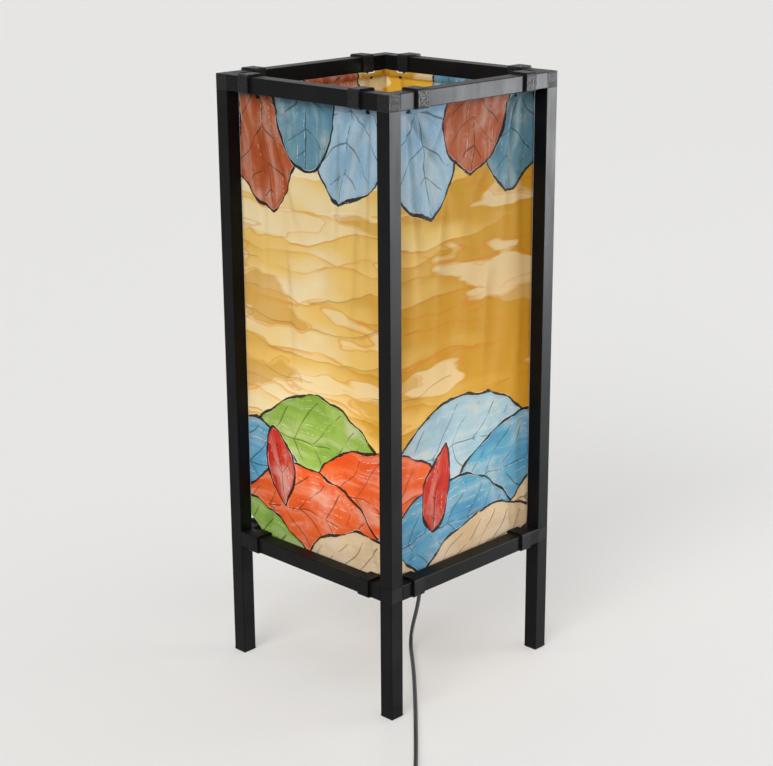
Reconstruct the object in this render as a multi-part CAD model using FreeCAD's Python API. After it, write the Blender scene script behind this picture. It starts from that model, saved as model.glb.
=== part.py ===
import FreeCAD, Part
import math
import os

# Andon floor lamp: a square tube frame on four legs around a printed fabric sleeve.
# All lengths are millimetres. The origin is the middle of the footprint on the floor, +Z is up,
# and the near corner of the square plan lies towards -X and -Y.

Vector = FreeCAD.Vector
UP = Vector(0, 0, 1)
DOWN = Vector(0, 0, -1)
ALONG_X = Vector(1, 0, 0)
ALONG_Y = Vector(0, 1, 0)
QUARTER = 90
CORNERS = ["front", "right", "rear", "left"]
FACES = ["front_right", "back_right", "back_left", "front_left"]

# Frame of square tube
frame_side = 300.0
overall_height = 783.0
tube_side = 20.0
tube_wall = 1.5
tube_edge_radius = 1.0
lower_joint_height = 158.0

# Plastic connectors and foot plugs
spigot_length = 24.0
spigot_wall = 2.4
spigot_gap = 0.15
connector_chamfer = 0.6
foot_flange = 3.0
foot_chamfer = 1.4
foot_spigot_length = 15.0

# Sleeve clips on the rails
upper_clip_corner_distance = 45.0
lower_clip_corner_distance = 38.0
clip_length = 18.0
clip_outer_stand = 3.5
clip_inner_stand = 3.0
clip_top_stand = 3.0
clip_bottom_stand = 1.0
clip_edge_radius = 3.0
clip_bore_gap = 0.1
hook_width = 3.0
hook_plate = 1.4
hook_foot = 1.6
hook_lip = 1.2
hook_lip_rise = 1.4
hook_seat_gap = 0.1
hook_plate_gap = 0.3
hook_lip_gap = 0.6

# Fabric sleeve
fabric_thickness = 1.0
fabric_post_gap = 1.0
fabric_clip_gap = 1.0
hem_radius = 3.5
hem_wall = 1.2
hem_swell = 0.6
rod_radius = 2.0
rod_end_gap = 5.0
upper_rod_drop = 4.8
lower_rod_rise = 9.0
hem_end_gap = 4.0
notch_side_gap = 0.6
notch_depth_gap = 0.6
taper_height = 45.0
# Folds: the width of each wave near the hems and half way up, as shares of the panel's width
corner_wave_shares = [0.055, 0.065, 0.09, 0.13, 0.32, 0.13, 0.09, 0.065, 0.055]
middle_wave_shares = [0.10, 0.13, 0.085, 0.12, 0.15, 0.105, 0.12, 0.09, 0.10]
# Height, depth of the folds and how far they have spread from the corners, as shares
fold_level_shares = [
    (0.0, 0.0008, 0.5),
    (0.06, 0.010, 0.6),
    (0.18, 0.022, 0.8),
    (0.38, 0.018, 1.0),
    (0.60, 0.026, 1.0),
    (0.78, 0.044, 0.75),
    (0.90, 0.052, 0.4),
    (0.965, 0.030, 0.15),
    (1.0, 0.0008, 0.0),
]

# Cross bar between two lower rails
bar_width = 25.0
bar_thickness = 2.5
bar_rise = 0.5
bar_tab_height = 17.5
bar_bend_radius = 1.5
bar_screw_rise = 10.0
screw_radius = 1.9
screw_head_radius = 3.8
screw_length = 9.0
screw_slot_width = 0.9
screw_slot_depth = 0.8
screw_hole_gap = 0.15

# Cord bushing in the bar
cord_radius = 2.75
bushing_distance = 60.0
bushing_flange_radius = 8.0
bushing_flange = 2.0
bushing_neck_radius = 5.4
bushing_neck_gap = 0.1
bushing_nose_radius = 7.0
bushing_tip_radius = 4.0
bushing_nose_length = 27.5

# Lampholder and its nipple
nipple_radius = 5.0
nipple_bore_radius = 3.75
nipple_below = 8.0
nipple_gap = 0.15
nut_across_flats = 14.0
nut_height = 4.0
neck_radius = 8.0
neck_height = 10.0
dome_height = 14.0
holder_radius = 20.0
holder_wall = 2.6
cap_skirt_height = 12.0
cap_ledge = 1.8
insert_gap = 0.3
insert_height = 10.0
ledge_below_rim = 7.0
lead_hole_gap = 0.25
lead_height = 25.0
lead_inside = 8.0
shell_height = 32.0
shell_lip_height = 3.0
shell_lip_radius = 14.8
sleeve_radius = 14.0
sleeve_wall = 0.45
sleeve_height = 22.0

# LED bulb
bulb_length = 108.0
bulb_radius = 30.0
bulb_cap_radius = 13.2
bulb_cap_height = 22.0
bulb_tip_radius = 4.5
bulb_tip_height = 4.5
bulb_tip_gap = 0.3
bulb_neck_radius = 13.9
bulb_neck_height = 9.0
bulb_split_drop = 40.0
bulb_shoulder_share = 0.5
bulb_shoulder_bulge_share = 0.46
dome_wall = 1.5

# In-line rocker switch, lying on the floor
switch_length = 62.0
switch_width = 27.0
switch_height = 14.5
switch_split_height = 8.0
switch_edge_radius = 3.0
switch_wall = 1.8
switch_end_wall = 6.0
switch_side_wall = 5.0
switch_cord_height = 5.5
rocker_length = 22.0
rocker_width = 13.0
rocker_end_gap = 1.1
rocker_side_gap = 0.4
rocker_tilt_degrees = 7.0
rocker_pivot_height = 10.5
rocker_top_stand = 0.8
rocker_depth = 3.6
trunnion_radius = 1.4
trunnion_length = 2.4
trunnion_gap = 0.06

# Two-pin plug, lying on the floor
plug_width = 34.0
plug_thickness = 15.6
plug_length = 36.0
plug_tail_width = 13.0
plug_tail_thickness = 11.0
plug_corner_radius = 4.0
plug_grip_share = 0.55
plug_grip_width = 23.0
pin_spacing = 18.6
pin_radius = 2.0
pin_length = 19.0
pin_root = 5.0

# Route of the free cord, from the bushing's tip to the switch: it hangs down, then lies on the floor
free_cord_route = [
    (60.0, 0.0, 128.0),
    (60.0, 0.0, 97.0),
    (56.0, -3.5, 66.0),
    (46.0, -7.0, 44.0),
    (35.5, -9.5, 26.0),
    (25.0, -15.5, 10.5),
    (12.0, -28.0, 3.1),
    (-6.0, -47.5, 2.8),
    (-35.2, -78.2, 2.8),
    (-67.0, -110.2, 2.8),
    (-107.0, -149.6, 2.8),
    (-152.0, -193.0, 2.8),
    (-193.5, -232.6, 2.8),
    (-222.0, -259.0, 5.5),
    (-248.0, -282.6, 5.5),
]

# Coil of the rest of the cord
coil_turns = 6.42
coil_layers = 2
coil_pitch = 6.2
coil_middle_radius = 32.0
coil_lift = 0.8
coil_climb_turns = 0.5
coil_lead = 27.0
tail_lead = 27.0
tie_width = 12.0
tie_thickness = 0.6
tie_gap = 0.15
tie_turn_share = 0.36
route_steps = 3
arc_reach_share = 0.45
overrun = 4.0

# Places worked out from the sizes above
half = frame_side / 2
inner = half - tube_side
top_rail_bottom = overall_height - tube_side
lower_rail_top = lower_joint_height + tube_side
upper_clip_middle = half - upper_clip_corner_distance - clip_length / 2
lower_clip_middle = half - lower_clip_corner_distance - clip_length / 2
fabric_half = inner - fabric_post_gap
lower_fabric_half = inner - clip_inner_stand - fabric_clip_gap
upper_rod_height = top_rail_bottom - upper_rod_drop
lower_rod_height = lower_joint_height + lower_rod_rise
bar_bottom = lower_joint_height + bar_rise
bar_top = bar_bottom + bar_thickness
bar_hole_height = bar_bottom + bar_screw_rise
cap_base = bar_top
cap_rim = cap_base + neck_height + dome_height + cap_skirt_height
ledge_height = cap_rim - ledge_below_rim
insert_top = ledge_height + insert_height
bulb_base = insert_top + bulb_tip_gap
bulb_top = bulb_base + bulb_length
rod_inset = hem_radius - hem_swell

nodes = {}


def block(x0, x1, y0, y1, z0, z1):
    """A box between two corners."""
    return Part.makeBox(x1 - x0, y1 - y0, z1 - z0, Vector(x0, y0, z0))


def rounded_block(x0, x1, y0, y1, z0, z1, radius, axis):
    """A box whose four edges along an axis are rounded."""
    solid = block(x0, x1, y0, y1, z0, z1)
    edges = [e for e in solid.Edges if abs(e.tangentAt(e.FirstParameter).dot(axis)) > 0.5]
    return solid.makeFillet(radius, edges)


def cylinder(radius, start, end):
    """A round bar between two points."""
    along = end - start
    return Part.makeCylinder(radius, along.Length, start, along)


def prism(points, along):
    """A flat outline pushed along a vector."""
    return Part.Face(Part.makePolygon(points + points[:1])).extrude(along)


def turned_about(profile, x, y):
    """A solid of revolution about the upright line through x, y, from (radius, height) points."""
    points = [Vector(x + r, y, z) for r, z in profile]
    face = Part.Face(Part.makePolygon(points + points[:1]))
    return face.revolve(Vector(x, y, 0), UP, 360)


def quarter_turned(shape, quarters):
    """A copy turned about the lamp's upright middle line."""
    copy = shape.copy()
    copy.rotate(Vector(0, 0, 0), UP, QUARTER * quarters)
    return copy


def placed(shape, origin, heading):
    """A copy of a shape made along +X at the origin, set at a place and heading in degrees."""
    copy = shape.copy()
    copy.rotate(Vector(0, 0, 0), UP, heading)
    copy.translate(origin)
    return copy


def level_vector(degrees, length):
    """A level vector of a length, at an angle from +X."""
    return Vector(math.cos(math.radians(degrees)), math.sin(math.radians(degrees)), 0) * length


def square_tube(x0, x1, y0, y1, z0, z1, axis):
    """A square tube that fills a box, open at both ends of its axis."""
    outside = rounded_block(x0, x1, y0, y1, z0, z1, tube_edge_radius, axis)
    grow = Vector(tube_wall, tube_wall, tube_wall) - axis * (tube_wall + overrun)
    bore = block(x0 + grow.x, x1 - grow.x, y0 + grow.y, y1 - grow.y, z0 + grow.z, z1 - grow.z)
    return outside.cut(bore)


def spigot(centre, along, length):
    """A hollow square spigot that slides into a tube, from a connector's middle plane outwards."""
    side = tube_side - 2 * (tube_wall + spigot_gap)
    hollow = side - 2 * spigot_wall
    end = tube_side / 2 + length
    outside = block(0, end, -side / 2, side / 2, -side / 2, side / 2)
    bore = block(tube_side / 2, end + overrun, -hollow / 2, hollow / 2, -hollow / 2, hollow / 2)
    solid = outside.cut(bore)
    turn = FreeCAD.Rotation(ALONG_X, along)
    solid.Placement = FreeCAD.Placement(centre, turn)
    return solid


def connector(height, directions):
    """A cube at the near corner with a spigot along each direction; height is its underside."""
    cube = block(-half, -inner, -half, -inner, height, height + tube_side)
    cube = cube.makeChamfer(connector_chamfer, cube.Edges)
    centre = Vector(-half + tube_side / 2, -half + tube_side / 2, height + tube_side / 2)
    spigots = [spigot(centre, along, spigot_length) for along in directions]
    return cube.fuse(spigots).removeSplitter()


def foot_plug():
    """The plug in a leg's lower end, with a chamfered flange under the tube."""
    flange = block(-half, -inner, -half, -inner, 0, foot_flange)
    lower_edges = [e for e in flange.Edges if e.BoundBox.ZMax < foot_flange / 2]
    flange = flange.makeChamfer(foot_chamfer, lower_edges)
    side = tube_side - 2 * (tube_wall + spigot_gap)
    gap = (tube_side - side) / 2
    stem = block(-half + gap, -inner - gap, -half + gap, -inner - gap, 0, foot_flange + foot_spigot_length)
    hollow_gap = gap + spigot_wall
    hollow = block(
        -half + hollow_gap, -inner - hollow_gap, -half + hollow_gap, -inner - hollow_gap,
        foot_flange, foot_flange + foot_spigot_length + overrun,
    )
    stem = stem.common(block(-half, -inner, -half, -inner, foot_flange / 2, overall_height))
    return flange.fuse(stem).cut(hollow).removeSplitter()


def screw_recess(rail_or_bar, height, radius):
    """A cut for the bar's end screws through both walls at the bar's two ends."""
    hole = cylinder(radius, Vector(-inner - tube_wall - overrun, 0, height), Vector(-lower_fabric_half, 0, height))
    other = quarter_turned(hole, 2)
    return rail_or_bar.cut([hole, other])


def clip_collar(middle, rail_bottom):
    """One sleeve clip's collar on the near right-hand rail, at the far end of that rail."""
    x0 = middle - clip_length / 2
    x1 = middle + clip_length / 2
    z0 = rail_bottom - clip_bottom_stand
    z1 = rail_bottom + tube_side + clip_top_stand
    outside = rounded_block(
        x0, x1, -half - clip_outer_stand, -inner + clip_inner_stand, z0, z1, clip_edge_radius, ALONG_X
    )
    gap = clip_bore_gap
    bore = block(
        x0 - overrun, x1 + overrun, -half - gap, -inner + gap, rail_bottom - gap, rail_bottom + tube_side + gap
    )
    return outside.cut(bore)


def upper_clip():
    """A clip whose hook hangs below the rail and carries the hem rod from beneath."""
    x0 = upper_clip_middle - hook_width / 2
    x1 = upper_clip_middle + hook_width / 2
    rod_y = -fabric_half + rod_inset
    seat = upper_rod_height - rod_radius - hook_seat_gap
    plate_y = -fabric_half - hem_swell - hook_plate_gap - hook_plate
    plate = block(x0, x1, plate_y, plate_y + hook_plate, seat - hook_foot, top_rail_bottom - clip_bore_gap)
    lip_y = rod_y + rod_radius + hook_lip_gap
    foot = block(x0, x1, plate_y, lip_y + hook_lip, seat - hook_foot, seat)
    lip = block(x0, x1, lip_y, lip_y + hook_lip, seat - hook_foot, seat + hook_lip_rise)
    return clip_collar(upper_clip_middle, top_rail_bottom).fuse([plate, foot, lip]).removeSplitter()


def lower_clip():
    """A clip whose hook reaches inwards over the hem rod and holds it down."""
    x0 = lower_clip_middle - hook_width / 2
    x1 = lower_clip_middle + hook_width / 2
    rod_y = -lower_fabric_half + rod_inset
    seat = lower_rod_height + rod_radius + hook_seat_gap
    lip_y = rod_y + rod_radius + hook_lip_gap
    foot = block(x0, x1, -inner + clip_inner_stand / 2, lip_y + hook_lip, seat, seat + hook_foot)
    lip = block(x0, x1, lip_y, lip_y + hook_lip, seat - hook_lip_rise, seat + hook_foot)
    return clip_collar(lower_clip_middle, lower_joint_height).fuse([foot, lip]).removeSplitter()


def both_ends_all_sides(shape):
    """Copies of a piece at both ends of all four sides."""
    mirrored = shape.mirror(Vector(0, 0, 0), ALONG_X)
    return [quarter_turned(s, q) for q in range(len(FACES)) for s in (shape, mirrored)]


def wave_edges(start, end, y, z, shares, depth_share):
    """Arcs side by side along X that swing to alternate sides, each as deep as a share of its width."""
    edges = []
    span = end - start
    at = start
    side = 1
    for share in shares:
        width = span * share
        sag = side * depth_share * abs(width)
        middle = Vector(at + width / 2, y + sag, z)
        edges.append(Part.Arc(Vector(at, y, z), middle, Vector(at + width, y, z)).toShape())
        at += width
        side = -side
    return edges


def panel_section(z, reach, depth_share, shares):
    """The thin closed outline of a fabric panel at one height, mitred at its ends."""
    front = wave_edges(-reach, reach, -reach, z, shares, depth_share)
    inside = reach - fabric_thickness
    back = wave_edges(inside, -inside, -inside, z, shares[::-1], depth_share)
    right = Part.makeLine(Vector(reach, -reach, z), Vector(inside, -inside, z))
    left = Part.makeLine(Vector(-inside, -inside, z), Vector(-reach, -reach, z))
    return Part.Wire(front + [right] + back + [left])


def hem(reach, z):
    """The rolled hem around a rod, in three lengths between the notches for the hooks."""
    y = -reach + rod_inset
    end = reach - hem_radius - hem_end_gap - rod_end_gap
    outside = cylinder(hem_radius, Vector(-end, y, z), Vector(end, y, z))
    bore = cylinder(hem_radius - hem_wall, Vector(-end - overrun, y, z), Vector(end + overrun, y, z))
    return outside, bore


def notches(reach, middle, z0, z1):
    """Cuts in a hem where the clips' hooks reach the rod."""
    wide = hook_width / 2 + notch_side_gap
    y0 = -reach - overrun
    y1 = -reach + 2 * hem_radius + overrun
    return [block(side * middle - wide, side * middle + wide, y0, y1, z0, z1) for side in (-1, 1)]


def fabric_panel(flip):
    """One side of the fabric sleeve, with its soft folds and both hems, on the near right-hand side."""
    sections = []
    tall = upper_rod_height - lower_rod_height
    for height_share, depth_share, spread_share in fold_level_shares:
        z = lower_rod_height + tall * height_share
        shares = [c + (m - c) * spread_share for c, m in zip(corner_wave_shares, middle_wave_shares)]
        total = sum(shares)
        shares = [s / total for s in shares]
        if flip:
            shares = shares[::-1]
        narrow = max(0.0, 1 - (z - lower_rod_height) / taper_height)
        narrow = 1.0 if z < lower_rail_top + clip_top_stand else narrow
        reach = fabric_half + (lower_fabric_half - fabric_half) * narrow
        sections.append(panel_section(z, reach, depth_share, shares))
    cloth = Part.makeLoft(sections, True, False)
    upper_roll, upper_bore = hem(fabric_half, upper_rod_height)
    lower_roll, lower_bore = hem(lower_fabric_half, lower_rod_height)
    hook_bottom = upper_rod_height - rod_radius - hook_seat_gap - hook_foot - notch_depth_gap
    hook_top = lower_rod_height + rod_radius + hook_seat_gap + hook_foot + notch_depth_gap
    cuts = notches(fabric_half, upper_clip_middle, hook_bottom, upper_rod_height)
    cuts += notches(lower_fabric_half, lower_clip_middle, lower_rod_height, hook_top)
    return cloth.fuse([upper_roll, lower_roll]).cut([upper_bore, lower_bore] + cuts)


def hem_rods(reach, z):
    """The four steel rods in the hems at one height."""
    y = -reach + rod_inset
    end = reach - hem_radius - rod_end_gap
    rod = cylinder(rod_radius, Vector(-end, y, z), Vector(end, y, z))
    return Part.makeCompound([quarter_turned(rod, q) for q in range(len(FACES))])


def cross_bar():
    """The flat bar across two lower rails, its ends bent up against them."""
    wide = bar_width / 2
    strip = block(-inner, inner, -wide, wide, bar_bottom, bar_top)
    tab = block(-inner, -inner + bar_thickness, -wide, wide, bar_bottom, bar_bottom + bar_tab_height)
    bar = strip.fuse([tab, quarter_turned(tab, 2)]).removeSplitter()
    bends = [
        e for e in bar.Edges
        if abs(e.BoundBox.ZMin - bar_top) < fabric_thickness / 2
        and e.BoundBox.ZLength < fabric_thickness / 2
        and e.BoundBox.YLength > wide
    ]
    bar = bar.makeFillet(bar_bend_radius, bends)
    bar = screw_recess(bar, bar_hole_height, screw_radius + screw_hole_gap)
    sink = Part.makeCone(
        screw_radius + screw_hole_gap, screw_head_radius + screw_hole_gap, bar_thickness,
        Vector(-inner, 0, bar_hole_height), ALONG_X,
    )
    centre_hole = cylinder(nipple_radius + nipple_gap, Vector(0, 0, bar_bottom - overrun), Vector(0, 0, bar_top + overrun))
    bushing_hole = cylinder(
        bushing_neck_radius + bushing_neck_gap,
        Vector(bushing_distance, 0, bar_bottom - overrun), Vector(bushing_distance, 0, bar_top + overrun),
    )
    return bar.cut([sink, quarter_turned(sink, 2), centre_hole, bushing_hole])


def bar_screws():
    """The two countersunk screws that hold the bar's ends to the rails."""
    face = -inner + bar_thickness
    head = Part.makeCone(screw_radius, screw_head_radius, bar_thickness, Vector(-inner, 0, bar_hole_height), ALONG_X)
    shank = cylinder(screw_radius, Vector(face - screw_length, 0, bar_hole_height), Vector(-inner, 0, bar_hole_height))
    slot = block(
        face - screw_slot_depth, face + overrun, -screw_head_radius, screw_head_radius,
        bar_hole_height - screw_slot_width / 2, bar_hole_height + screw_slot_width / 2,
    )
    screw = head.fuse(shank).removeSplitter().cut(slot)
    return Part.makeCompound([screw, quarter_turned(screw, 2)])


def cord_bushing():
    """The strain relief moulded on the cord, seated in the bar with its tapered nose below."""
    profile = [
        (0, bar_top + bushing_flange),
        (bushing_flange_radius, bar_top + bushing_flange),
        (bushing_flange_radius, bar_top),
        (bushing_neck_radius, bar_top),
        (bushing_neck_radius, bar_bottom),
        (bushing_nose_radius, bar_bottom),
        (bushing_tip_radius, bushing_tip),
        (0, bushing_tip),
    ]
    return turned_about(profile, bushing_distance, 0)


def holder_nipple():
    """The threaded tube that joins the lampholder to the bar."""
    bottom = Vector(0, 0, bar_bottom - nipple_below)
    top = Vector(0, 0, cap_base + neck_height)
    bore_end = Vector(0, 0, overrun)
    return cylinder(nipple_radius, bottom, top).cut(cylinder(nipple_bore_radius, bottom - bore_end, top + bore_end))


def nipple_nut():
    """The hexagon nut under the bar."""
    corner = nut_across_flats / math.sqrt(3)
    points = [level_vector(60 * i, corner) + Vector(0, 0, bar_bottom - nut_height) for i in range(6)]
    hole = cylinder(nipple_radius + nipple_gap, Vector(0, 0, 0), Vector(0, 0, bar_top))
    return prism(points, Vector(0, 0, nut_height)).cut(hole)


def holder_cap():
    """The lampholder's lower cap: a neck on the bar, a flared dome and a short skirt."""
    shoulder = cap_base + neck_height
    skirt = shoulder + dome_height
    bore = nipple_radius + nipple_gap
    wall_radius = holder_radius - holder_wall
    profile = [
        (bore, cap_base),
        (neck_radius, cap_base),
        (neck_radius, shoulder),
        (holder_radius, skirt),
        (holder_radius, cap_rim),
        (wall_radius, cap_rim),
        (wall_radius, ledge_height),
        (wall_radius - cap_ledge, ledge_height),
        (wall_radius - cap_ledge, skirt),
        (bore, shoulder),
    ]
    cap = turned_about(profile, 0, 0)
    lead_hole = cylinder(cord_radius + lead_hole_gap, Vector(0, 0, lead_z), Vector(holder_radius + overrun, 0, lead_z))
    return cap.cut(lead_hole)


def holder_insert():
    """The ceramic insert that carries the contacts, on the cap's ledge."""
    radius = holder_radius - holder_wall - insert_gap
    return cylinder(radius, Vector(0, 0, ledge_height), Vector(0, 0, insert_top))


def holder_shell():
    """The lampholder's outer shell, open at the top for the bulb."""
    wall_radius = holder_radius - holder_wall
    top = cap_rim + shell_height
    profile = [
        (wall_radius, cap_rim),
        (holder_radius, cap_rim),
        (holder_radius, top),
        (shell_lip_radius, top),
        (shell_lip_radius, top - shell_lip_height),
        (wall_radius, top - shell_lip_height),
    ]
    return turned_about(profile, 0, 0)


def contact_sleeve():
    """The threaded brass sleeve around the bulb's cap."""
    bottom = Vector(0, 0, insert_top)
    top = bottom + UP * sleeve_height
    return cylinder(sleeve_radius, bottom, top).cut(cylinder(sleeve_radius - sleeve_wall, bottom, top))


def bulb_cap():
    """The bulb's metal screw cap with its contact tip."""
    top = bulb_base + bulb_tip_height + bulb_cap_height
    profile = [
        (0, bulb_base),
        (bulb_tip_radius, bulb_base),
        (bulb_cap_radius, bulb_base + bulb_tip_height),
        (bulb_cap_radius, top),
        (0, top),
    ]
    return turned_about(profile, 0, 0)


def bulb_shoulder_radius():
    """The bulb's radius where its dome meets its body."""
    drop = bulb_split_drop - bulb_radius
    return math.sqrt(bulb_radius ** 2 - drop ** 2)


def bulb_body():
    """The bulb's lower body, flaring from the cap to the dome."""
    bottom = bulb_base + bulb_tip_height + bulb_cap_height
    split = bulb_top - bulb_split_drop
    shoulder = bulb_shoulder_radius()
    neck_top = bottom + bulb_neck_height
    mid = Vector(
        bulb_neck_radius + (shoulder - bulb_neck_radius) * bulb_shoulder_bulge_share, 0,
        neck_top + (split - neck_top) * bulb_shoulder_share,
    )
    points = [Vector(0, 0, bottom), Vector(bulb_neck_radius, 0, bottom), Vector(bulb_neck_radius, 0, neck_top)]
    edges = [Part.makeLine(a, b) for a, b in zip(points, points[1:])]
    edges.append(Part.Arc(points[-1], mid, Vector(shoulder, 0, split)).toShape())
    edges.append(Part.makeLine(Vector(shoulder, 0, split), Vector(0, 0, split)))
    edges.append(Part.makeLine(Vector(0, 0, split), points[0]))
    return Part.Face(Part.Wire(edges)).revolve(Vector(0, 0, 0), UP, 360)


def bulb_dome():
    """The bulb's hollow diffusing dome."""
    centre = Vector(0, 0, bulb_top - bulb_radius)
    split = bulb_top - bulb_split_drop
    above = block(-bulb_radius, bulb_radius, -bulb_radius, bulb_radius, split, bulb_top)
    outer = Part.makeSphere(bulb_radius, centre).common(above)
    return outer.cut(Part.makeSphere(bulb_radius - dome_wall, centre))


def swept(path, radius, start, direction):
    """A round tube along a path."""
    circle = Part.Wire(Part.makeCircle(radius, start, direction))
    return path.makePipeShell([circle], True, False)


def check_volume(name, solid, radius, length):
    """Prints how a tube's volume compares with its section times its length."""
    print(name, "length", round(length, 1), "volume ratio", round(solid.Volume / (math.pi * radius ** 2 * length), 4))


def rounded_route(name, places):
    """A wire of straight runs joined by tangent arcs, each as large as its runs allow."""
    points = [Vector(*p) for p in places]
    edges = []
    radii = []
    last = points[0]
    for before, corner, after in zip(points, points[1:], points[2:]):
        into = corner - before
        out = after - corner
        reach = arc_reach_share * min(into.Length, out.Length)
        half_turn = into.getAngle(out) / 2
        radii.append(reach / math.tan(half_turn))
        into.normalize()
        out.normalize()
        first = corner - into * reach
        second = corner + out * reach
        inward = (out - into).normalize()
        centre = corner + inward * (radii[-1] / math.cos(half_turn))
        middle = centre - inward * radii[-1]
        edges.append(Part.LineSegment(last, first).toShape())
        edges.append(Part.Arc(first, middle, second).toShape())
        last = second
    edges.append(Part.LineSegment(last, points[-1]).toShape())
    print(name, "arc radii", [round(r, 1) for r in radii])
    return Part.Wire(edges)


def route_tube(name, places):
    """The solid of a free stretch of cord."""
    path = rounded_route(name, places)
    start = Vector(*places[0])
    solid = swept(path, cord_radius, start, Vector(*places[1]) - start)
    check_volume(name, solid, cord_radius, path.Length)
    return solid


def stepped(start, heading, length, drop):
    """A short level stretch that sinks by a small drop in its middle step."""
    step = length / route_steps
    points = []
    for i in range(route_steps + 1):
        fall = drop if i >= route_steps - 1 else 0
        points.append(tuple(start + level_vector(heading, step * i) - UP * fall))
    return points


def inner_lead():
    """The stretch of cord from the lampholder's side to the bushing's flange."""
    end_z = bar_top + bushing_flange
    bend = lead_z - end_z
    start = Vector(holder_radius - lead_inside, 0, lead_z)
    bend_start = Vector(bushing_distance - bend, 0, lead_z)
    bend_end = Vector(bushing_distance, 0, end_z)
    centre = Vector(bushing_distance - bend, 0, end_z)
    middle = centre + Vector(bend, 0, bend) / math.sqrt(2)
    path = Part.Wire([Part.makeLine(start, bend_start), Part.Arc(bend_start, middle, bend_end).toShape()])
    print("inner lead bend radius", round(bend, 1))
    return swept(path, cord_radius, start, ALONG_X)


def coil_point(turn):
    """A point of the coil's middle line in the coil's own frame, and the direction there."""
    past = turn - coil_turns / 2
    blend = coil_climb_turns / 2
    if abs(past) < blend:
        grown = past ** 2 / (2 * blend) + blend / 2
        rate = past / blend
        climb = (1 - math.cos(math.pi * (past + blend) / (2 * blend))) / 2
        climb_rate = math.pi / (4 * blend) * math.sin(math.pi * (past + blend) / (2 * blend))
    else:
        grown = abs(past)
        rate = math.copysign(1, past)
        climb = 0.0 if past < 0 else 1.0
        climb_rate = 0.0
    middle_growth = coil_turns / (2 * coil_layers)
    radius = coil_middle_radius + coil_pitch * (grown - middle_growth)
    angle = -2 * math.pi * turn
    outward = Vector(math.cos(angle), math.sin(angle), 0)
    sideways = Vector(-math.sin(angle), math.cos(angle), 0)
    point = outward * radius + UP * (coil_pitch * climb)
    along = outward * (coil_pitch * rate) - sideways * (2 * math.pi * radius) + UP * (coil_pitch * climb_rate)
    return point, along.normalize()


def arc_between(start, control, end):
    """The arc that leaves start towards a control point and reaches end from it."""
    chord_middle = (start + end) / 2
    rise = control - chord_middle
    turn = math.atan2(rise.Length, (end - start).Length / 2)
    return Part.Arc(start, chord_middle + rise * (math.tan(turn / 2) / math.tan(turn)), end).toShape()


def biarc(start, start_along, end, end_along):
    """Two arcs that join two places smoothly, with a given direction at each."""
    across = end - start
    both = start_along + end_along
    a = 2 * start_along.dot(end_along) - 2
    b = -2 * across.dot(both)
    c = across.dot(across)
    reach = (-b - math.sqrt(b * b - 4 * a * c)) / (2 * a)
    first = start + start_along * reach
    second = end - end_along * reach
    joint = (first + second) / 2
    return [arc_between(start, first, joint), arc_between(joint, second, end)]


def coil_wire():
    """The coil's middle line: biarcs of about a quarter turn, with straight ends."""
    count = math.ceil(coil_turns * 4)
    places = [coil_point(coil_turns * i / count) for i in range(count + 1)]
    straight = 2 * cord_radius
    edges = [Part.makeLine(places[0][0] - places[0][1] * straight, places[0][0])]
    for (p, t), (q, s) in zip(places, places[1:]):
        edges += biarc(p, t, q, s)
    edges.append(Part.makeLine(places[-1][0], places[-1][0] + places[-1][1] * straight))
    return Part.Wire(edges)


def coil_self_gap():
    """The least gap between the coil's own turns, measured on points of its middle line."""
    per_turn = 48
    count = int(coil_turns * per_turn)
    points = [coil_point(coil_turns * i / count)[0] for i in range(count + 1)]
    apart = per_turn // 2
    least = min(
        points[i].distanceToPoint(points[j])
        for i in range(len(points)) for j in range(i + apart, len(points))
    )
    return least - 2 * cord_radius


def coil_tie():
    """The band around the coil's bundle of turns, in the coil's own frame."""
    inside = coil_middle_radius - coil_pitch * coil_turns / (2 * coil_layers) - cord_radius - tie_gap
    outside = coil_middle_radius + coil_pitch * coil_turns / (2 * coil_layers) + cord_radius + tie_gap
    bottom = -cord_radius - tie_gap
    top = coil_pitch * (coil_layers - 1) + cord_radius + tie_gap
    wide = tie_width / 2
    t = tie_thickness
    band = rounded_block(inside - t, outside + t, -wide, wide, bottom - t, top + t, t, ALONG_Y)
    band = band.cut(block(inside, outside, -wide - overrun, wide + overrun, bottom, top))
    band.rotate(Vector(0, 0, 0), UP, -360 * tie_turn_share)
    return band


def switch_half(z0, z1):
    """One hollow half of the switch's case, lying along +X."""
    wide = switch_width / 2
    case = rounded_block(0, switch_length, -wide, wide, 0, switch_height, switch_edge_radius, UP)
    long_edges = [
        e for e in case.Edges
        if e.BoundBox.ZLength < switch_wall and abs(e.BoundBox.ZMax - switch_height) < switch_wall
    ]
    case = case.makeFillet(switch_edge_radius / 2, long_edges)
    slab = block(-overrun, switch_length + overrun, -wide, wide, z0, z1)
    side = wide - switch_side_wall
    hollow = block(
        switch_end_wall, switch_length - switch_end_wall, -side, side, switch_wall, switch_height - switch_wall
    )
    return case.common(slab).cut(hollow)


def switch_lower():
    """The switch's lower shell."""
    return switch_half(0, switch_split_height)


def switch_upper():
    """The switch's upper shell, with the rocker's window and bearing holes."""
    x = switch_length / 2
    long = rocker_length / 2 + rocker_end_gap
    wide = rocker_width / 2 + rocker_side_gap
    window = block(x - long, x + long, -wide, wide, switch_split_height - overrun, switch_height + overrun)
    reach = rocker_width / 2 + trunnion_length + trunnion_gap
    bearing = cylinder(
        trunnion_radius + trunnion_gap, Vector(x, -reach, rocker_pivot_height), Vector(x, reach, rocker_pivot_height)
    )
    return switch_half(switch_split_height, switch_height).cut([window, bearing])


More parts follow.
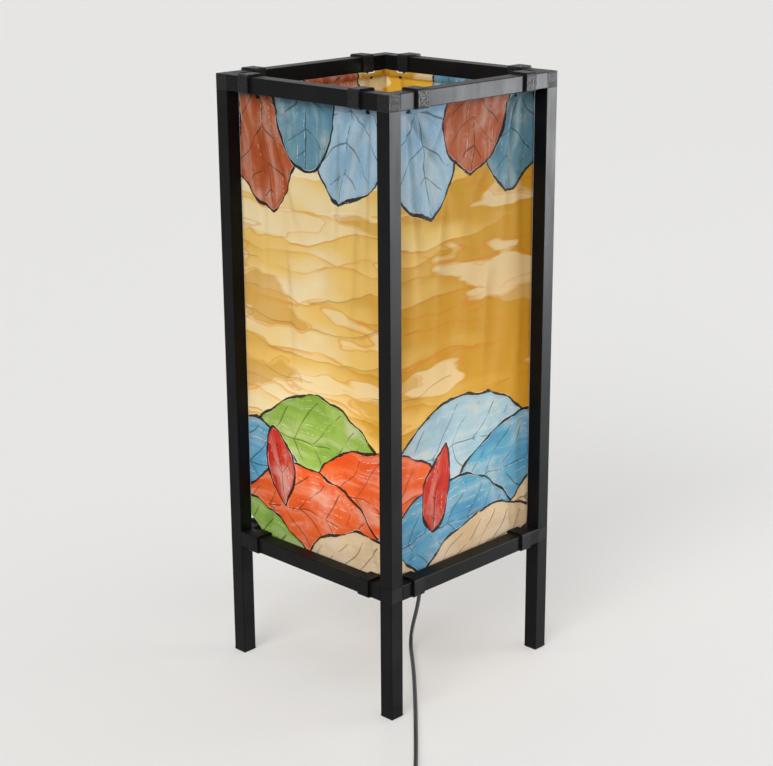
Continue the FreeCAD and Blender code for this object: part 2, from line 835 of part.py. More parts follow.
def switch_rocker():
    """The rocker with its two trunnions, resting on its lowered end."""
    long = rocker_length / 2
    rise = long * math.tan(math.radians(rocker_tilt_degrees))
    top = switch_height + rocker_top_stand - rocker_pivot_height
    points = [
        Vector(-long, 0, top + rise / 2),
        Vector(0, 0, top - rise / 2),
        Vector(long, 0, top + rise / 2),
        Vector(long, 0, 0),
        Vector(long / 2, 0, -rocker_depth),
        Vector(-long / 2, 0, -rocker_depth),
        Vector(-long, 0, 0),
    ]
    key = prism([p - ALONG_Y * (rocker_width / 2) for p in points], ALONG_Y * rocker_width)
    reach = rocker_width / 2 + trunnion_length
    key = key.fuse(cylinder(trunnion_radius, Vector(0, -reach, 0), Vector(0, reach, 0)))
    key.rotate(Vector(0, 0, 0), ALONG_Y, rocker_tilt_degrees)
    key.translate(Vector(switch_length / 2, 0, rocker_pivot_height))
    return key


def plug_outline(x, width, thickness, radius):
    """A rounded rectangle across the plug at one distance along it."""
    y = width / 2
    z = thickness / 2
    middle = plug_thickness / 2
    bend = radius * (1 - math.sqrt(0.5))
    corners = [(1, 1), (-1, 1), (-1, -1), (1, -1)]
    edges = []
    ends = []
    for sy, sz in corners:
        beside = Vector(x, sy * y, middle + sz * (z - radius))
        above = Vector(x, sy * (y - radius), middle + sz * z)
        via = Vector(x, sy * (y - bend), middle + sz * (z - bend))
        first, second = (beside, above) if sy * sz > 0 else (above, beside)
        edges.append(Part.Arc(first, via, second).toShape())
        ends.append((first, second))
    joined = []
    for i, edge in enumerate(edges):
        joined.append(edge)
        joined.append(Part.makeLine(ends[i][1], ends[(i + 1) % len(ends)][0]))
    return Part.Wire(joined)


def plug_body():
    """The plug's moulded body, narrow at the cord and waisted for the fingers."""
    slim = plug_tail_thickness
    sections = [
        plug_outline(0, plug_tail_width, slim, plug_corner_radius),
        plug_outline(plug_length * plug_grip_share, plug_grip_width, plug_thickness, plug_corner_radius),
        plug_outline(plug_length, plug_width, plug_thickness, plug_corner_radius),
    ]
    body = Part.makeLoft(sections, True, True)
    return body.cut([pin(side, pin_radius) for side in (-1, 1)])


def pin(side, radius):
    """One of the plug's pins, rooted in the body."""
    y = side * pin_spacing / 2
    z = plug_thickness / 2
    return cylinder(radius, Vector(plug_length - pin_root, y, z), Vector(plug_length + pin_length, y, z))


def plug_pins():
    """The two pins, with rounded tips."""
    tip = pin_radius / 2
    pins = []
    for side in (-1, 1):
        solid = pin(side, pin_radius)
        ends = [e for e in solid.Edges if e.BoundBox.XMin > plug_length + pin_length / 2]
        ends = [e for e in ends if e.BoundBox.XLength < tip]
        pins.append(solid.makeFillet(tip, ends))
    return Part.makeCompound(pins)


def frame_nodes():
    """Posts, legs, rails, connectors, foot plugs and clips."""
    post = square_tube(-half, -inner, -half, -inner, lower_rail_top, top_rail_bottom, UP)
    leg = square_tube(-half, -inner, -half, -inner, foot_flange, lower_joint_height, UP)
    level = [ALONG_X, ALONG_Y]
    top_connector = connector(top_rail_bottom, level + [DOWN])
    lower_connector = connector(lower_joint_height, level + [DOWN, UP])
    foot = foot_plug()
    for q, corner in enumerate(CORNERS):
        nodes["post_" + corner] = quarter_turned(post, q)
        nodes["leg_" + corner] = quarter_turned(leg, q)
        nodes["top_connector_" + corner] = quarter_turned(top_connector, q)
        nodes["lower_connector_" + corner] = quarter_turned(lower_connector, q)
        nodes["foot_plug_" + corner] = quarter_turned(foot, q)
    top_rail = square_tube(-inner, inner, -half, -inner, top_rail_bottom, overall_height, ALONG_X)
    lower_rail = square_tube(-inner, inner, -half, -inner, lower_joint_height, lower_rail_top, ALONG_X)
    for q, face in enumerate(FACES):
        nodes["top_rail_" + face] = quarter_turned(top_rail, q)
        rail = quarter_turned(lower_rail, q)
        if q % 2:
            rail = screw_recess(rail, bar_hole_height, screw_radius + screw_hole_gap)
        nodes["lower_rail_" + face] = rail
    nodes["top_rail_clips"] = Part.makeCompound(both_ends_all_sides(upper_clip()))
    nodes["lower_rail_clips"] = Part.makeCompound(both_ends_all_sides(lower_clip()))


def shade_nodes():
    """The sleeve's four panels and the hem rods."""
    panels = [fabric_panel(False), fabric_panel(True)]
    for q, face in enumerate(FACES):
        nodes["shade_panel_" + face] = quarter_turned(panels[q % 2], q)
    nodes["upper_hem_rods"] = hem_rods(fabric_half, upper_rod_height)
    nodes["lower_hem_rods"] = hem_rods(lower_fabric_half, lower_rod_height)


def light_nodes():
    """The bar, bushing, lead, lampholder and bulb."""
    nodes["cross_bar"] = cross_bar()
    nodes["bar_screws"] = bar_screws()
    nodes["cord_bushing"] = cord_bushing()
    nodes["inner_lead"] = inner_lead()
    nodes["holder_nipple"] = holder_nipple()
    nodes["nipple_nut"] = nipple_nut()
    nodes["holder_cap"] = holder_cap()
    nodes["holder_insert"] = holder_insert()
    nodes["holder_shell"] = holder_shell()
    nodes["contact_sleeve"] = contact_sleeve()
    nodes["bulb_cap"] = bulb_cap()
    nodes["bulb_body"] = bulb_body()
    nodes["bulb_dome"] = bulb_dome()


def cord_nodes():
    """The free cord, its switch, its coil with the tie, and its plug."""
    nodes["cord_to_switch"] = route_tube("cord to switch", free_cord_route)
    before = Vector(*free_cord_route[-2])
    inlet = Vector(*free_cord_route[-1])
    run = inlet - before
    heading = math.degrees(math.atan2(run.y, run.x))
    floor_below = Vector(inlet.x, inlet.y, 0)
    nodes["switch_lower"] = placed(switch_lower(), floor_below, heading)
    nodes["switch_upper"] = placed(switch_upper(), floor_below, heading)
    nodes["switch_rocker"] = placed(switch_rocker(), floor_below, heading)
    pivot = floor_below + level_vector(heading, switch_length / 2) + UP * rocker_pivot_height
    print("rocker pivot", [round(v, 3) for v in pivot], "axis", [round(v, 6) for v in level_vector(heading + 90, 1)])

    outlet = floor_below + level_vector(heading, switch_length) + UP * switch_cord_height
    coil_height = cord_radius + coil_lift
    lead = stepped(outlet, heading, coil_lead, switch_cord_height - coil_height)
    nodes["cord_switch_to_coil"] = route_tube("cord to coil", lead)

    wire = coil_wire()
    start, along = coil_point(0)
    first = start - along * (2 * cord_radius)
    coil = swept(wire, cord_radius, first, along)
    check_volume("coil", coil, cord_radius, wire.Length)
    print("coil least self gap", round(coil_self_gap(), 3))
    turn = heading - math.degrees(math.atan2(along.y, along.x))
    swing = FreeCAD.Rotation(UP, turn)
    shift = Vector(*lead[-1]) - swing.multVec(first)
    nodes["cord_coil"] = placed(coil, shift, turn)
    nodes["coil_tie"] = placed(coil_tie(), shift, turn)
    print("coil centre", [round(v, 2) for v in shift], "turned", round(turn, 3))

    last, last_along = coil_point(coil_turns)
    tail_start = swing.multVec(last + last_along * (2 * cord_radius)) + shift
    out = swing.multVec(last_along)
    tail_heading = math.degrees(math.atan2(out.y, out.x))
    tail = stepped(tail_start, tail_heading, tail_lead, tail_start.z - plug_thickness / 2)
    nodes["cord_coil_to_plug"] = route_tube("cord to plug", tail)
    plug_at = Vector(tail[-1][0], tail[-1][1], 0)
    nodes["plug_body"] = placed(plug_body(), plug_at, tail_heading)
    nodes["plug_pins"] = placed(plug_pins(), plug_at, tail_heading)
    print("plug at", [round(v, 2) for v in plug_at], "heading", round(tail_heading, 3))


bushing_tip = free_cord_route[0][2]
lead_z = cap_base + lead_height

frame_nodes()
shade_nodes()
light_nodes()
cord_nodes()

os.makedirs("parts", exist_ok=True)
for name, shape in nodes.items():
    if not shape.isValid():
        print("not valid", name)
    shape.exportStep(os.path.join("parts", name + ".step"))
print(len(nodes), "nodes")
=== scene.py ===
"""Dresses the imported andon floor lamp: its satin frame, printed sleeve, lit bulb and cord."""

import logging
import math
from dataclasses import dataclass
from enum import Enum
from typing import Any, NamedTuple

import bpy
import numpy as np
from mathutils import Matrix, Vector
from mathutils.bvhtree import BVHTree


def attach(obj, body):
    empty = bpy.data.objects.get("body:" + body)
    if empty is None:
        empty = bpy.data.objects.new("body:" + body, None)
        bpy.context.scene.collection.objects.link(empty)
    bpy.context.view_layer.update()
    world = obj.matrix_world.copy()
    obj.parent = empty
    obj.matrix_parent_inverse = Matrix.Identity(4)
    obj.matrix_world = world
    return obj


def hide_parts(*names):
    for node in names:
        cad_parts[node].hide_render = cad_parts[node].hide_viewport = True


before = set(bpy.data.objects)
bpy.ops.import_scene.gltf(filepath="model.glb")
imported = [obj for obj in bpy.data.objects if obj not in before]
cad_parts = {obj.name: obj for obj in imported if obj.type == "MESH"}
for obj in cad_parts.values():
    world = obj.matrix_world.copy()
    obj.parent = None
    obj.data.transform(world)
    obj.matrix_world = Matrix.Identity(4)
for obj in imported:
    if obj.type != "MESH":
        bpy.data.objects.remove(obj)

LOG = logging.getLogger("andon_lamp")

Socket = bpy.types.NodeSocket
Number = Socket | float
Colour = tuple[float, float, float]
Point = tuple[float, float, float]
Band = tuple[float, float]
Inputs = dict[str | int, Any]

# Cloudy noise lies mostly between these values.
NOISE_SPREAD: Band = (0.3, 0.7)


class Body(Enum):
    """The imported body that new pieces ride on."""

    LAMP = "lamp"


class Slot(Enum):
    """The record's material slots for the cloth and the cord."""

    CLOTH = "shade_fabric"
    CORD = "cord_rubber"


class Side(Enum):
    """The sleeve's four sides, in quarter turns from the one that faces -Y."""

    FRONT_RIGHT = 0
    BACK_RIGHT = 1
    BACK_LEFT = 2
    FRONT_LEFT = 3


class Corner(Enum):
    """The four corners of the square plan."""

    FRONT = "front"
    RIGHT = "right"
    REAR = "rear"
    LEFT = "left"


@dataclass(frozen=True)
class Cloud:
    """A cloudy noise: how many clouds lie in a metre, its detail and its roughness."""

    per_metre: float
    detail: float = 3.0
    rough: float = 0.5


class Graph:
    """A node tree, with short calls for the nodes that the finishes share."""

    def __init__(self, tree: bpy.types.NodeTree) -> None:
        """Empties a node tree.

        Args:
            tree: the node tree of a material or a world.
        """
        self.tree = tree
        tree.nodes.clear()

    def node(self, kind: str, inputs: Inputs, **settings: Any) -> bpy.types.Node:
        """Adds a node.

        Args:
            kind: the node's type.
            inputs: a value or another node's socket for each named or numbered input.
            settings: the node's own properties.

        Returns:
            The new node.
        """
        made = self.tree.nodes.new(kind)
        for key, value in settings.items():
            setattr(made, key, value)
        for key, value in inputs.items():
            socket = made.inputs[key]
            if isinstance(value, Socket):
                self.tree.links.new(value, socket)
            else:
                socket.default_value = value
        return made

    def math(self, operation: str, a: Number, b: Number = 0.0) -> Socket:
        """Adds a sum of one or two numbers and returns its result."""
        return self.node("ShaderNodeMath", {0: a, 1: b}, operation=operation).outputs[0]

    def product(self, first: Number, *others: Number) -> Number:
        """Multiplies numbers.

        Args:
            first: the first number.
            others: the numbers that multiply it.

        Returns:
            Their product.
        """
        for other in others:
            first = self.math("MULTIPLY", first, other)
        return first

    def total(self, first: Number, *others: Number) -> Number:
        """Adds numbers up.

        Args:
            first: the first number.
            others: the numbers that are added to it.

        Returns:
            Their total.
        """
        for other in others:
            first = self.math("ADD", first, other)
        return first

    def minus(self, a: Number, b: Number) -> Socket:
        """Returns the first number less the second."""
        return self.math("SUBTRACT", a, b)

    def inverse(self, value: Number) -> Socket:
        """Returns one less a number."""
        return self.math("SUBTRACT", 1.0, value)

    def unsigned(self, value: Number) -> Socket:
        """Returns a number without its sign."""
        return self.math("ABSOLUTE", value)

    def axis(self, place: Socket, number: int) -> Socket:
        """Returns a place's part along one axis."""
        return self.node("ShaderNodeSeparateXYZ", {0: place}).outputs[number]

    def stored(self, name: str, output: str) -> Socket:
        """Returns what the mesh stores under a name."""
        return self.node("ShaderNodeAttribute", {}, attribute_name=name).outputs[output]

    def blend(self, share: Number, low: Any, high: Any, kind: str = "MIX") -> Socket:
        """Mixes two colours.

        Args:
            share: how much the second colour counts.
            low: the first colour.
            high: the second colour.
            kind: how the second colour goes over the first.

        Returns:
            The mixed colour.
        """
        inputs: Inputs = {0: share, 6: low, 7: high}
        return self.node("ShaderNodeMix", inputs, data_type="RGBA", blend_type=kind).outputs[2]

    def stain(self, share: Number, low: Any, high: Any) -> Socket:
        """Returns one colour with another laid over it as a transparent wash."""
        return self.blend(share, low, high, "MULTIPLY")

    def span(self, value: Number, before: Band, after: Band, kind: str = "LINEAR") -> Socket:
        """Changes a number's range and holds it at the new range's ends.

        Args:
            value: the number.
            before: the range that it has.
            after: the range that it gets.
            kind: how it runs between the ends.

        Returns:
            The new number.
        """
        limits = dict(zip(("From Min", "From Max", "To Min", "To Max"), (*before, *after)))
        return self.node("ShaderNodeMapRange", {"Value": value, **limits}, interpolation_type=kind).outputs[0]

    def step(self, value: Number, band: Band) -> Socket:
        """Returns a soft step from 0 at the band's start to 1 at its end."""
        return self.span(value, band, (0.0, 1.0), "SMOOTHSTEP")

    def line(self, off: Number, band: Band) -> Socket:
        """Returns a soft line that is 1 where a distance is below the band and 0 above it."""
        return self.inverse(self.step(off, band))

    def place(self) -> Socket:
        """Returns the surface's place in the object's own metres."""
        return self.node("ShaderNodeTexCoord", {}).outputs["Object"]

    def stretch(self, place: Socket, scale: Point, shift: Point = (0.0, 0.0, 0.0)) -> Socket:
        """Returns a place that is multiplied and shifted along its axes."""
        inputs: Inputs = {0: place, 1: scale, 2: shift}
        return self.node("ShaderNodeVectorMath", inputs, operation="MULTIPLY_ADD").outputs[0]

    def noise(self, place: Socket, cloud: Cloud) -> Socket:
        """Returns cloudy noise."""
        size: Inputs = {"Scale": cloud.per_metre, "Detail": cloud.detail, "Roughness": cloud.rough}
        return self.node("ShaderNodeTexNoise", {"Vector": place, **size}).outputs[0]

    def bump(self, height: Number, strength: float, distance: float, under: Socket | None = None) -> Socket:
        """Bends the surface's normal as relief does.

        Args:
            height: the relief's height at each place.
            strength: how much the relief counts.
            distance: its depth in metres.
            under: a normal that is bent already, if there is one.

        Returns:
            The bent normal.
        """
        inputs: Inputs = {"Height": height, "Strength": strength, "Distance": distance}
        if under is not None:
            inputs["Normal"] = under
        return self.node("ShaderNodeBump", inputs).outputs[0]

    def seen(self) -> Socket:
        """Tells rays that see a surface from rays that carry light to another.

        Returns:
            1 for rays from the camera, a reflection or a clear surface, else 0.
        """
        path = self.node("ShaderNodeLightPath", {})
        seen = path.outputs["Is Camera Ray"]
        for other in ("Is Glossy Ray", "Is Transmission Ray"):
            seen = self.math("MAXIMUM", seen, path.outputs[other])
        return seen


class Finish(Graph):
    """A material's node tree, with the calls that end it."""

    def __init__(self, name: str) -> None:
        """Starts an empty material.

        Args:
            name: the material's name.
        """
        self.material = bpy.data.materials.new(name)
        self.material.use_nodes = True
        super().__init__(self.material.node_tree)

    def principled(self, inputs: Inputs) -> Socket:
        """Returns the main shader."""
        return self.node("ShaderNodeBsdfPrincipled", inputs).outputs[0]

    def surface(self, shader: Socket) -> bpy.types.Material:
        """Joins a shader to the output and returns the finished material."""
        self.node("ShaderNodeOutputMaterial", {"Surface": shader})
        return self.material


def shade(colour: Colour) -> tuple[float, float, float, float]:
    """Returns a colour with full cover."""
    return (*colour, 1.0)


def around(middle: float, below: float, above: float) -> Band:
    """Returns the band from a little below a value to a little above it."""
    return (middle - below, middle + above)


@dataclass(frozen=True)
class PowderCoat:
    """Fine satin powder coat on steel tube, paler in soft clouds where it is handled."""

    name: str = "satin_powder_coat"
    base: Colour = (0.0045, 0.0045, 0.0050)
    worn: Colour = (0.0080, 0.0080, 0.0087)
    worn_band: Band = (0.35, 0.75)
    specular: float = 0.09
    roughness: Band = (0.37, 0.43)
    clouds: Cloud = Cloud(14.0, 4.0, 0.6)
    handling: Cloud = Cloud(1.0, 4.0, 0.65)
    handling_scale: Point = (90.0, 90.0, 12.0)
    handling_band: Band = (0.4, 0.75)
    handling_roughness: float = 0.06
    peel: Cloud = Cloud(850.0, 3.0, 0.6)
    peel_strength: float = 0.45
    peel_height: float = 0.00008

    def make(self) -> bpy.types.Material:
        """Makes the finish.

        Returns:
            The finish as a material.
        """
        graph = Finish(self.name)
        place = graph.place()
        clouds = graph.noise(place, self.clouds)
        handling = graph.noise(graph.stretch(place, self.handling_scale), self.handling)
        colour = graph.blend(graph.step(clouds, self.worn_band), shade(self.base), shade(self.worn))
        rough = graph.total(
            graph.span(clouds, NOISE_SPREAD, self.roughness),
            graph.span(handling, self.handling_band, (0.0, self.handling_roughness)),
        )
        normal = graph.bump(graph.noise(place, self.peel), self.peel_strength, self.peel_height)
        inputs: Inputs = {"Base Color": colour, "Roughness": rough, "Normal": normal}
        return graph.surface(graph.principled({**inputs, "Specular IOR Level": self.specular}))


@dataclass(frozen=True)
class GrainedPlastic:
    """Black moulded plastic with a fine grain that sparkles where it is polished, and painted highlights as
    pale lines at its seams.
    """

    name: str = "grained_black_plastic"
    base: Colour = (0.0045, 0.0045, 0.0050)
    raised: Colour = (0.0085, 0.0085, 0.0092)
    raised_band: Band = (0.45, 0.72)
    # The pale lines at these seam heights are painted highlights for light glinting off the edges.
    painted_glint: Colour = (0.09, 0.09, 0.095)
    glint_heights: tuple[float, ...] = (0.158, 0.763)
    glint_band: Band = (0.00042, 0.0007)
    grain: Cloud = Cloud(780.0, 2.0, 0.7)
    grain_strength: float = 0.9
    grain_height: float = 0.0007
    specks: Cloud = Cloud(1014.0, 1.0)
    speck_band: Band = (0.46, 0.56)
    matt: float = 0.78
    polished: float = 0.18
    clouds: Cloud = Cloud(60.0)
    cloud_roughness: float = 0.08
    specular: float = 0.24

    def make(self) -> bpy.types.Material:
        """Makes the finish.

        Returns:
            The finish as a material.
        """
        graph = Finish(self.name)
        place = graph.place()
        grain = graph.noise(place, self.grain)
        colour = graph.blend(graph.step(grain, self.raised_band), shade(self.base), shade(self.raised))
        height = graph.axis(place, 2)
        # Painted highlight: a pale line at each seam height stands in for light glinting off the connectors'
        # edges.
        for glint_height in self.glint_heights:
            off = graph.unsigned(graph.minus(height, glint_height))
            colour = graph.blend(graph.line(off, self.glint_band), colour, shade(self.painted_glint))
        specks = graph.noise(place, self.specks)
        rough = graph.total(
            graph.span(specks, self.speck_band, (self.matt, self.polished)),
            graph.span(graph.noise(place, self.clouds), NOISE_SPREAD, (0.0, self.cloud_roughness)),
        )
        normal = graph.bump(grain, self.grain_strength, self.grain_height)
        inputs: Inputs = {"Base Color": colour, "Roughness": rough, "Normal": normal}
        return graph.surface(graph.principled({**inputs, "Specular IOR Level": self.specular}))


@dataclass(frozen=True)
class SmoothPlastic:
    """Smooth moulded plastic or rubber with faint clouding."""

    name: str
    base: Colour
    roughness: float = 0.35
    coat: float = 0.0
    paler_share: float = 1.25
    paler_by: float = 0.004
    clouds: Cloud = Cloud(45.0, 4.0)
    cloud_band: Band = (0.35, 0.8)
    grain: Cloud = Cloud(2600.0, 2.0)
    grain_strength: float = 0.2
    grain_height: float = 0.00004

    def make(self) -> bpy.types.Material:
        """Makes the finish.

        Returns:
            The finish as a material.
        """
        graph = Finish(self.name)
        place = graph.place()
        clouds = graph.noise(place, self.clouds)
        paler = tuple(min(1.0, c * self.paler_share + self.paler_by) for c in self.base)
        inputs: Inputs = {
            "Base Color": graph.blend(graph.step(clouds, self.cloud_band), shade(self.base), shade(paler)),
            "Roughness": graph.span(clouds, NOISE_SPREAD, around(self.roughness, 0.05, 0.07)),
            "Normal": graph.bump(graph.noise(place, self.grain), self.grain_strength, self.grain_height),
            "Coat Weight": self.coat,
        }
        return graph.surface(graph.principled(inputs))


@dataclass(frozen=True)
class Metal:
    """Bare or plated metal, with drawn or turned marks along one axis."""

    name: str
    base: Colour
    dull: Colour
    roughness: float = 0.3
    marks_scale: Point = (60.0, 60.0, 2400.0)
    marks: Cloud = Cloud(1.0, 3.0, 0.6)
    marks_strength: float = 0.25
    marks_height: float = 0.00003
    clouds: Cloud = Cloud(80.0, 4.0, 0.6)
    dull_band: Band = (0.4, 0.8)

    def make(self) -> bpy.types.Material:
        """Makes the finish.

        Returns:
            The finish as a material.
        """
        graph = Finish(self.name)
        place = graph.place()
        marks = graph.noise(graph.stretch(place, self.marks_scale), self.marks)
        dulled = graph.step(graph.noise(place, self.clouds), self.dull_band)
        inputs: Inputs = {
            "Base Color": graph.blend(dulled, shade(self.base), shade(self.dull)),
            "Metallic": 1.0,
            "Roughness": graph.span(marks, NOISE_SPREAD, around(self.roughness, 0.08, 0.12)),
            "Normal": graph.bump(marks, self.marks_strength, self.marks_height),
        }
        return graph.surface(graph.principled(inputs))


@dataclass(frozen=True)
class LitOpal:
    """The bulb's opal dome, lit from inside and a little brighter at its crown."""

    name: str = "lit_opal_dome"
    skin: Colour = (0.9, 0.88, 0.82)
    roughness: float = 0.3
    glow: Colour = (1.0, 0.80, 0.52)
    strength: float = 30.0
    heights: Band = (0.268, 0.308)
    rim_to_crown: Band = (0.72, 1.0)
    clouds: Cloud = Cloud(120.0, 2.0)
    clouding: Band = (0.96, 1.04)

    def make(self) -> bpy.types.Material:
        """Makes the finish.

        Returns:
            The finish as a material.
        """
        graph = Finish(self.name)
        place = graph.place()
        fall = graph.span(graph.axis(place, 2), self.heights, self.rim_to_crown)
        clouded = graph.span(graph.noise(place, self.clouds), NOISE_SPREAD, self.clouding)
        power = graph.product(fall, self.strength, clouded)
        glow = graph.node("ShaderNodeEmission", {"Color": shade(self.glow), "Strength": power}).outputs[0]
        skin = graph.principled({"Base Color": shade(self.skin), "Roughness": self.roughness})
        return graph.surface(graph.node("ShaderNodeAddShader", {0: glow, 1: skin}).outputs[0])


@dataclass(frozen=True)
class WovenTape:
    """Woven black tape of the coil's tie."""

    name: str = "woven_black_tape"
    base: Colour = (0.018, 0.018, 0.02)
    raised: Colour = (0.06, 0.06, 0.064)
    raised_band: Band = (0.1, 0.6)
    threads_per_metre: float = 1400.0
    thread_strength: float = 0.9
    thread_height: float = 0.0003
    roughness: float = 0.9
    fuzz: float = 0.4

    def make(self) -> bpy.types.Material:
        """Makes the finish.

        Returns:
            The finish as a material.
        """
        graph = Finish(self.name)
        cells: Inputs = {"Vector": graph.place(), "Scale": self.threads_per_metre}
        loops = graph.node("ShaderNodeTexVoronoi", cells).outputs["Distance"]
        colour = graph.blend(graph.step(loops, self.raised_band), shade(self.raised), shade(self.base))
        inputs: Inputs = {
            "Base Color": colour,
            "Roughness": self.roughness,
            "Sheen Weight": self.fuzz,
            "Normal": graph.bump(loops, self.thread_strength, self.thread_height),
        }
        return graph.surface(graph.principled(inputs))


@dataclass(frozen=True)
class PaintNoise:
    """A cloudy noise on the flat cloth, with its own scale across and up."""

    across: float
    up: float
    shift: float = 0.0
    detail: float = 2.0
    rough: float = 0.5
    shift_shares: Point = (1.0, 0.37, 1.9)

    def on(self, graph: Graph, place: Socket, seed: float = 0.0) -> Socket:
        """Lays the noise on the cloth.

        Args:
            graph: the material's node tree.
            place: the place on the flat cloth.
            seed: a further shift that sets it apart.

        Returns:
            The noise at each place.
        """
        shift = tuple((self.shift + seed) * share for share in self.shift_shares)
        spread = graph.stretch(place, (self.across, self.up, 1.0), shift)
        return graph.noise(spread, Cloud(1.0, self.detail, self.rough))


class Wash(NamedTuple):
    """One set of washes: how deep each place is, its pooled edge, and a line just past that edge."""

    deep: Number
    edge: Number
    line: Number


@dataclass(frozen=True)
class OchreGround:
    """The print's ochre ground: long wavering washes, drying pools and thin pencil lines."""

    pale: Colour = (0.93, 0.85, 0.59)
    middle: Colour = (0.87, 0.645, 0.21)
    deep: Colour = (0.665, 0.378, 0.034)
    pooled: Colour = (0.74, 0.25, 0.02)
    pencil: Colour = (0.26, 0.18, 0.07)
    washes_per_metre: tuple[float, float] = (27.0, 17.0)
    wash_seeds: tuple[float, float] = (0.0, 7.7)
    wash_shares: tuple[float, float] = (0.55, 0.50)
    second_edge_share: float = 0.7
    roll: PaintNoise = PaintNoise(3.8, 4.4, rough=0.4)
    roll_share: float = 0.115
    curl: PaintNoise = PaintNoise(13.0, 7.5, 4.1)
    curl_share: float = 0.030
    own_slope: Band = (0.62, 0.15)
    own_depth: Band = (-0.20, 0.42)
    own_edge_band: Band = (0.1, 0.6)
    edge_band: Band = (0.90, 0.97)
    line_band: Band = (0.02, 0.045)
    sleeve_round: float = 1.032
    palest_place: float = 0.84
    golden_middle: float = 0.42
    golden_swing: float = 0.53
    patches: PaintNoise = PaintNoise(6.0, 13.0, 5.3, 3.0)
    patch_band: Band = (0.34, 0.66)
    patch_tone: Band = (0.20, -0.20)
    middle_band: Band = (-0.15, 0.36)
    deep_band: Band = (0.30, 0.86)
    pools: PaintNoise = PaintNoise(5.4, 18.0, 0.0, 3.0, 0.42)
    pool_seeds: tuple[float, float] = (12.2, 21.9)
    pool_band: Band = (0.560, 0.590)
    pool_share: float = 0.62
    rim_at: float = 0.562
    rim_band: Band = (0.0025, 0.0075)
    rim_share: float = 0.34
    breaks: PaintNoise = PaintNoise(11.0, 19.0, 1.3)
    break_band: Band = (0.42, 0.62)
    edge_share: float = 0.55
    strokes: PaintNoise = PaintNoise(8.0, 9.0, 6.1)
    stroke_band: Band = (0.56, 0.60)
    stroke_share: float = 0.5

    def wash(self, graph: Graph, place: Socket, per_metre: float, seed: float) -> Wash:
        """Lays long wavering washes that deepen up to a pooled edge, each in its own tone.

        Args:
            graph: the material's node tree.
            place: the place on the flat cloth.
            per_metre: how many washes lie above one another in a metre.
            seed: a shift that sets these washes apart from others.

        Returns:
            The washes.
        """
        bent = graph.total(
            graph.product(self.roll.on(graph, place, seed), per_metre * self.roll_share),
            graph.product(self.curl.on(graph, place, seed), per_metre * self.curl_share),
        )
        laid = graph.total(graph.product(graph.axis(place, 1), per_metre), bent)
        part = graph.math("FRACT", laid)
        number: Inputs = {"W": graph.math("FLOOR", laid)}
        own = graph.node("ShaderNodeTexWhiteNoise", number, noise_dimensions="1D").outputs["Value"]
        whole = (0.0, 1.0)
        slope = graph.product(graph.math("POWER", part, 2.0), graph.span(own, whole, self.own_slope))
        edge = graph.product(graph.step(part, self.edge_band), graph.span(own, self.own_edge_band, whole))
        deep = graph.total(slope, graph.span(own, whole, self.own_depth))
        return Wash(deep, edge, graph.line(part, self.line_band))

    def pool(self, graph: Graph, place: Socket, colour: Socket, wash: Colour, seed: float) -> Socket:
        """Lays long drying pools of one wash, each with a thin darker rim.

        Args:
            graph: the material's node tree.
            place: the place on the flat cloth.
            colour: the colour below the pools.
            wash: the pools' colour.
            seed: a shift that sets these pools apart from others.

        Returns:
            The colour with the pools on it.
        """
        cloud = self.pools.on(graph, place, seed)
        inside = graph.step(cloud, self.pool_band)
        colour = graph.blend(graph.product(inside, self.pool_share), colour, shade(wash))
        rim = graph.line(graph.unsigned(graph.minus(cloud, self.rim_at)), self.rim_band)
        return graph.blend(graph.product(rim, self.rim_share), colour, shade(self.pooled))

    def tone(self, graph: Graph, place: Socket, first: Wash, second: Wash) -> Socket:
        """Works out how deep the ochre is.

        Args:
            graph: the material's node tree.
            place: the place on the flat cloth.
            first: the narrower set of washes.
            second: the broader set of washes.

        Returns:
            The tone, from palest at about 0 to deepest at about 1.
        """
        from_palest = graph.minus(graph.axis(place, 0), self.palest_place)
        turned = graph.product(from_palest, math.tau / self.sleeve_round)
        swing = graph.product(graph.math("COSINE", turned), self.golden_swing)
        golden = graph.minus(self.golden_middle, swing)
        patches = graph.span(self.patches.on(graph, place), self.patch_band, self.patch_tone)
        washed = graph.total(
            graph.product(first.deep, self.wash_shares[0]), graph.product(second.deep, self.wash_shares[1])
        )
        return graph.total(washed, graph.total(golden, patches))

    def paint(self, graph: Graph, place: Socket) -> Socket:
        """Paints the ground.

        Args:
            graph: the material's node tree.
            place: the place on the flat cloth.

        Returns:
            The ground's colour.
        """
        first, second = (
            self.wash(graph, place, per_metre, seed)
            for per_metre, seed in zip(self.washes_per_metre, self.wash_seeds)
        )
        tone = self.tone(graph, place, first, second)
        low = graph.blend(graph.step(tone, self.middle_band), shade(self.pale), shade(self.middle))
        colour = graph.blend(graph.step(tone, self.deep_band), low, shade(self.deep))
        for wash, seed in zip((self.pale, self.deep), self.pool_seeds):
            colour = self.pool(graph, place, colour, wash, seed)
        broken = graph.step(self.breaks.on(graph, place), self.break_band)
        edges = graph.math("MAXIMUM", first.edge, graph.product(second.edge, self.second_edge_share))
        colour = graph.blend(graph.product(edges, broken, self.edge_share), colour, shade(self.pooled))
        drawn = graph.step(self.strokes.on(graph, place), self.stroke_band)
        return graph.blend(graph.product(first.line, drawn, self.stroke_share), colour, shade(self.pencil))


class Hand(NamedTuple):
    """The painter's uneven hand, which all the leaves share."""

    blooms: Socket
    jitter: Socket
    sway: Socket
    width: Socket
    dry: Socket
    wet: Socket
    missed: Socket


class Layer(NamedTuple):
    """One layer of leaves: each place's distances from its nearest leaf, and that leaf's colour."""

    number: int
    field: Socket
    tint: Socket
    outside: Socket
    along: Socket
    side: Socket


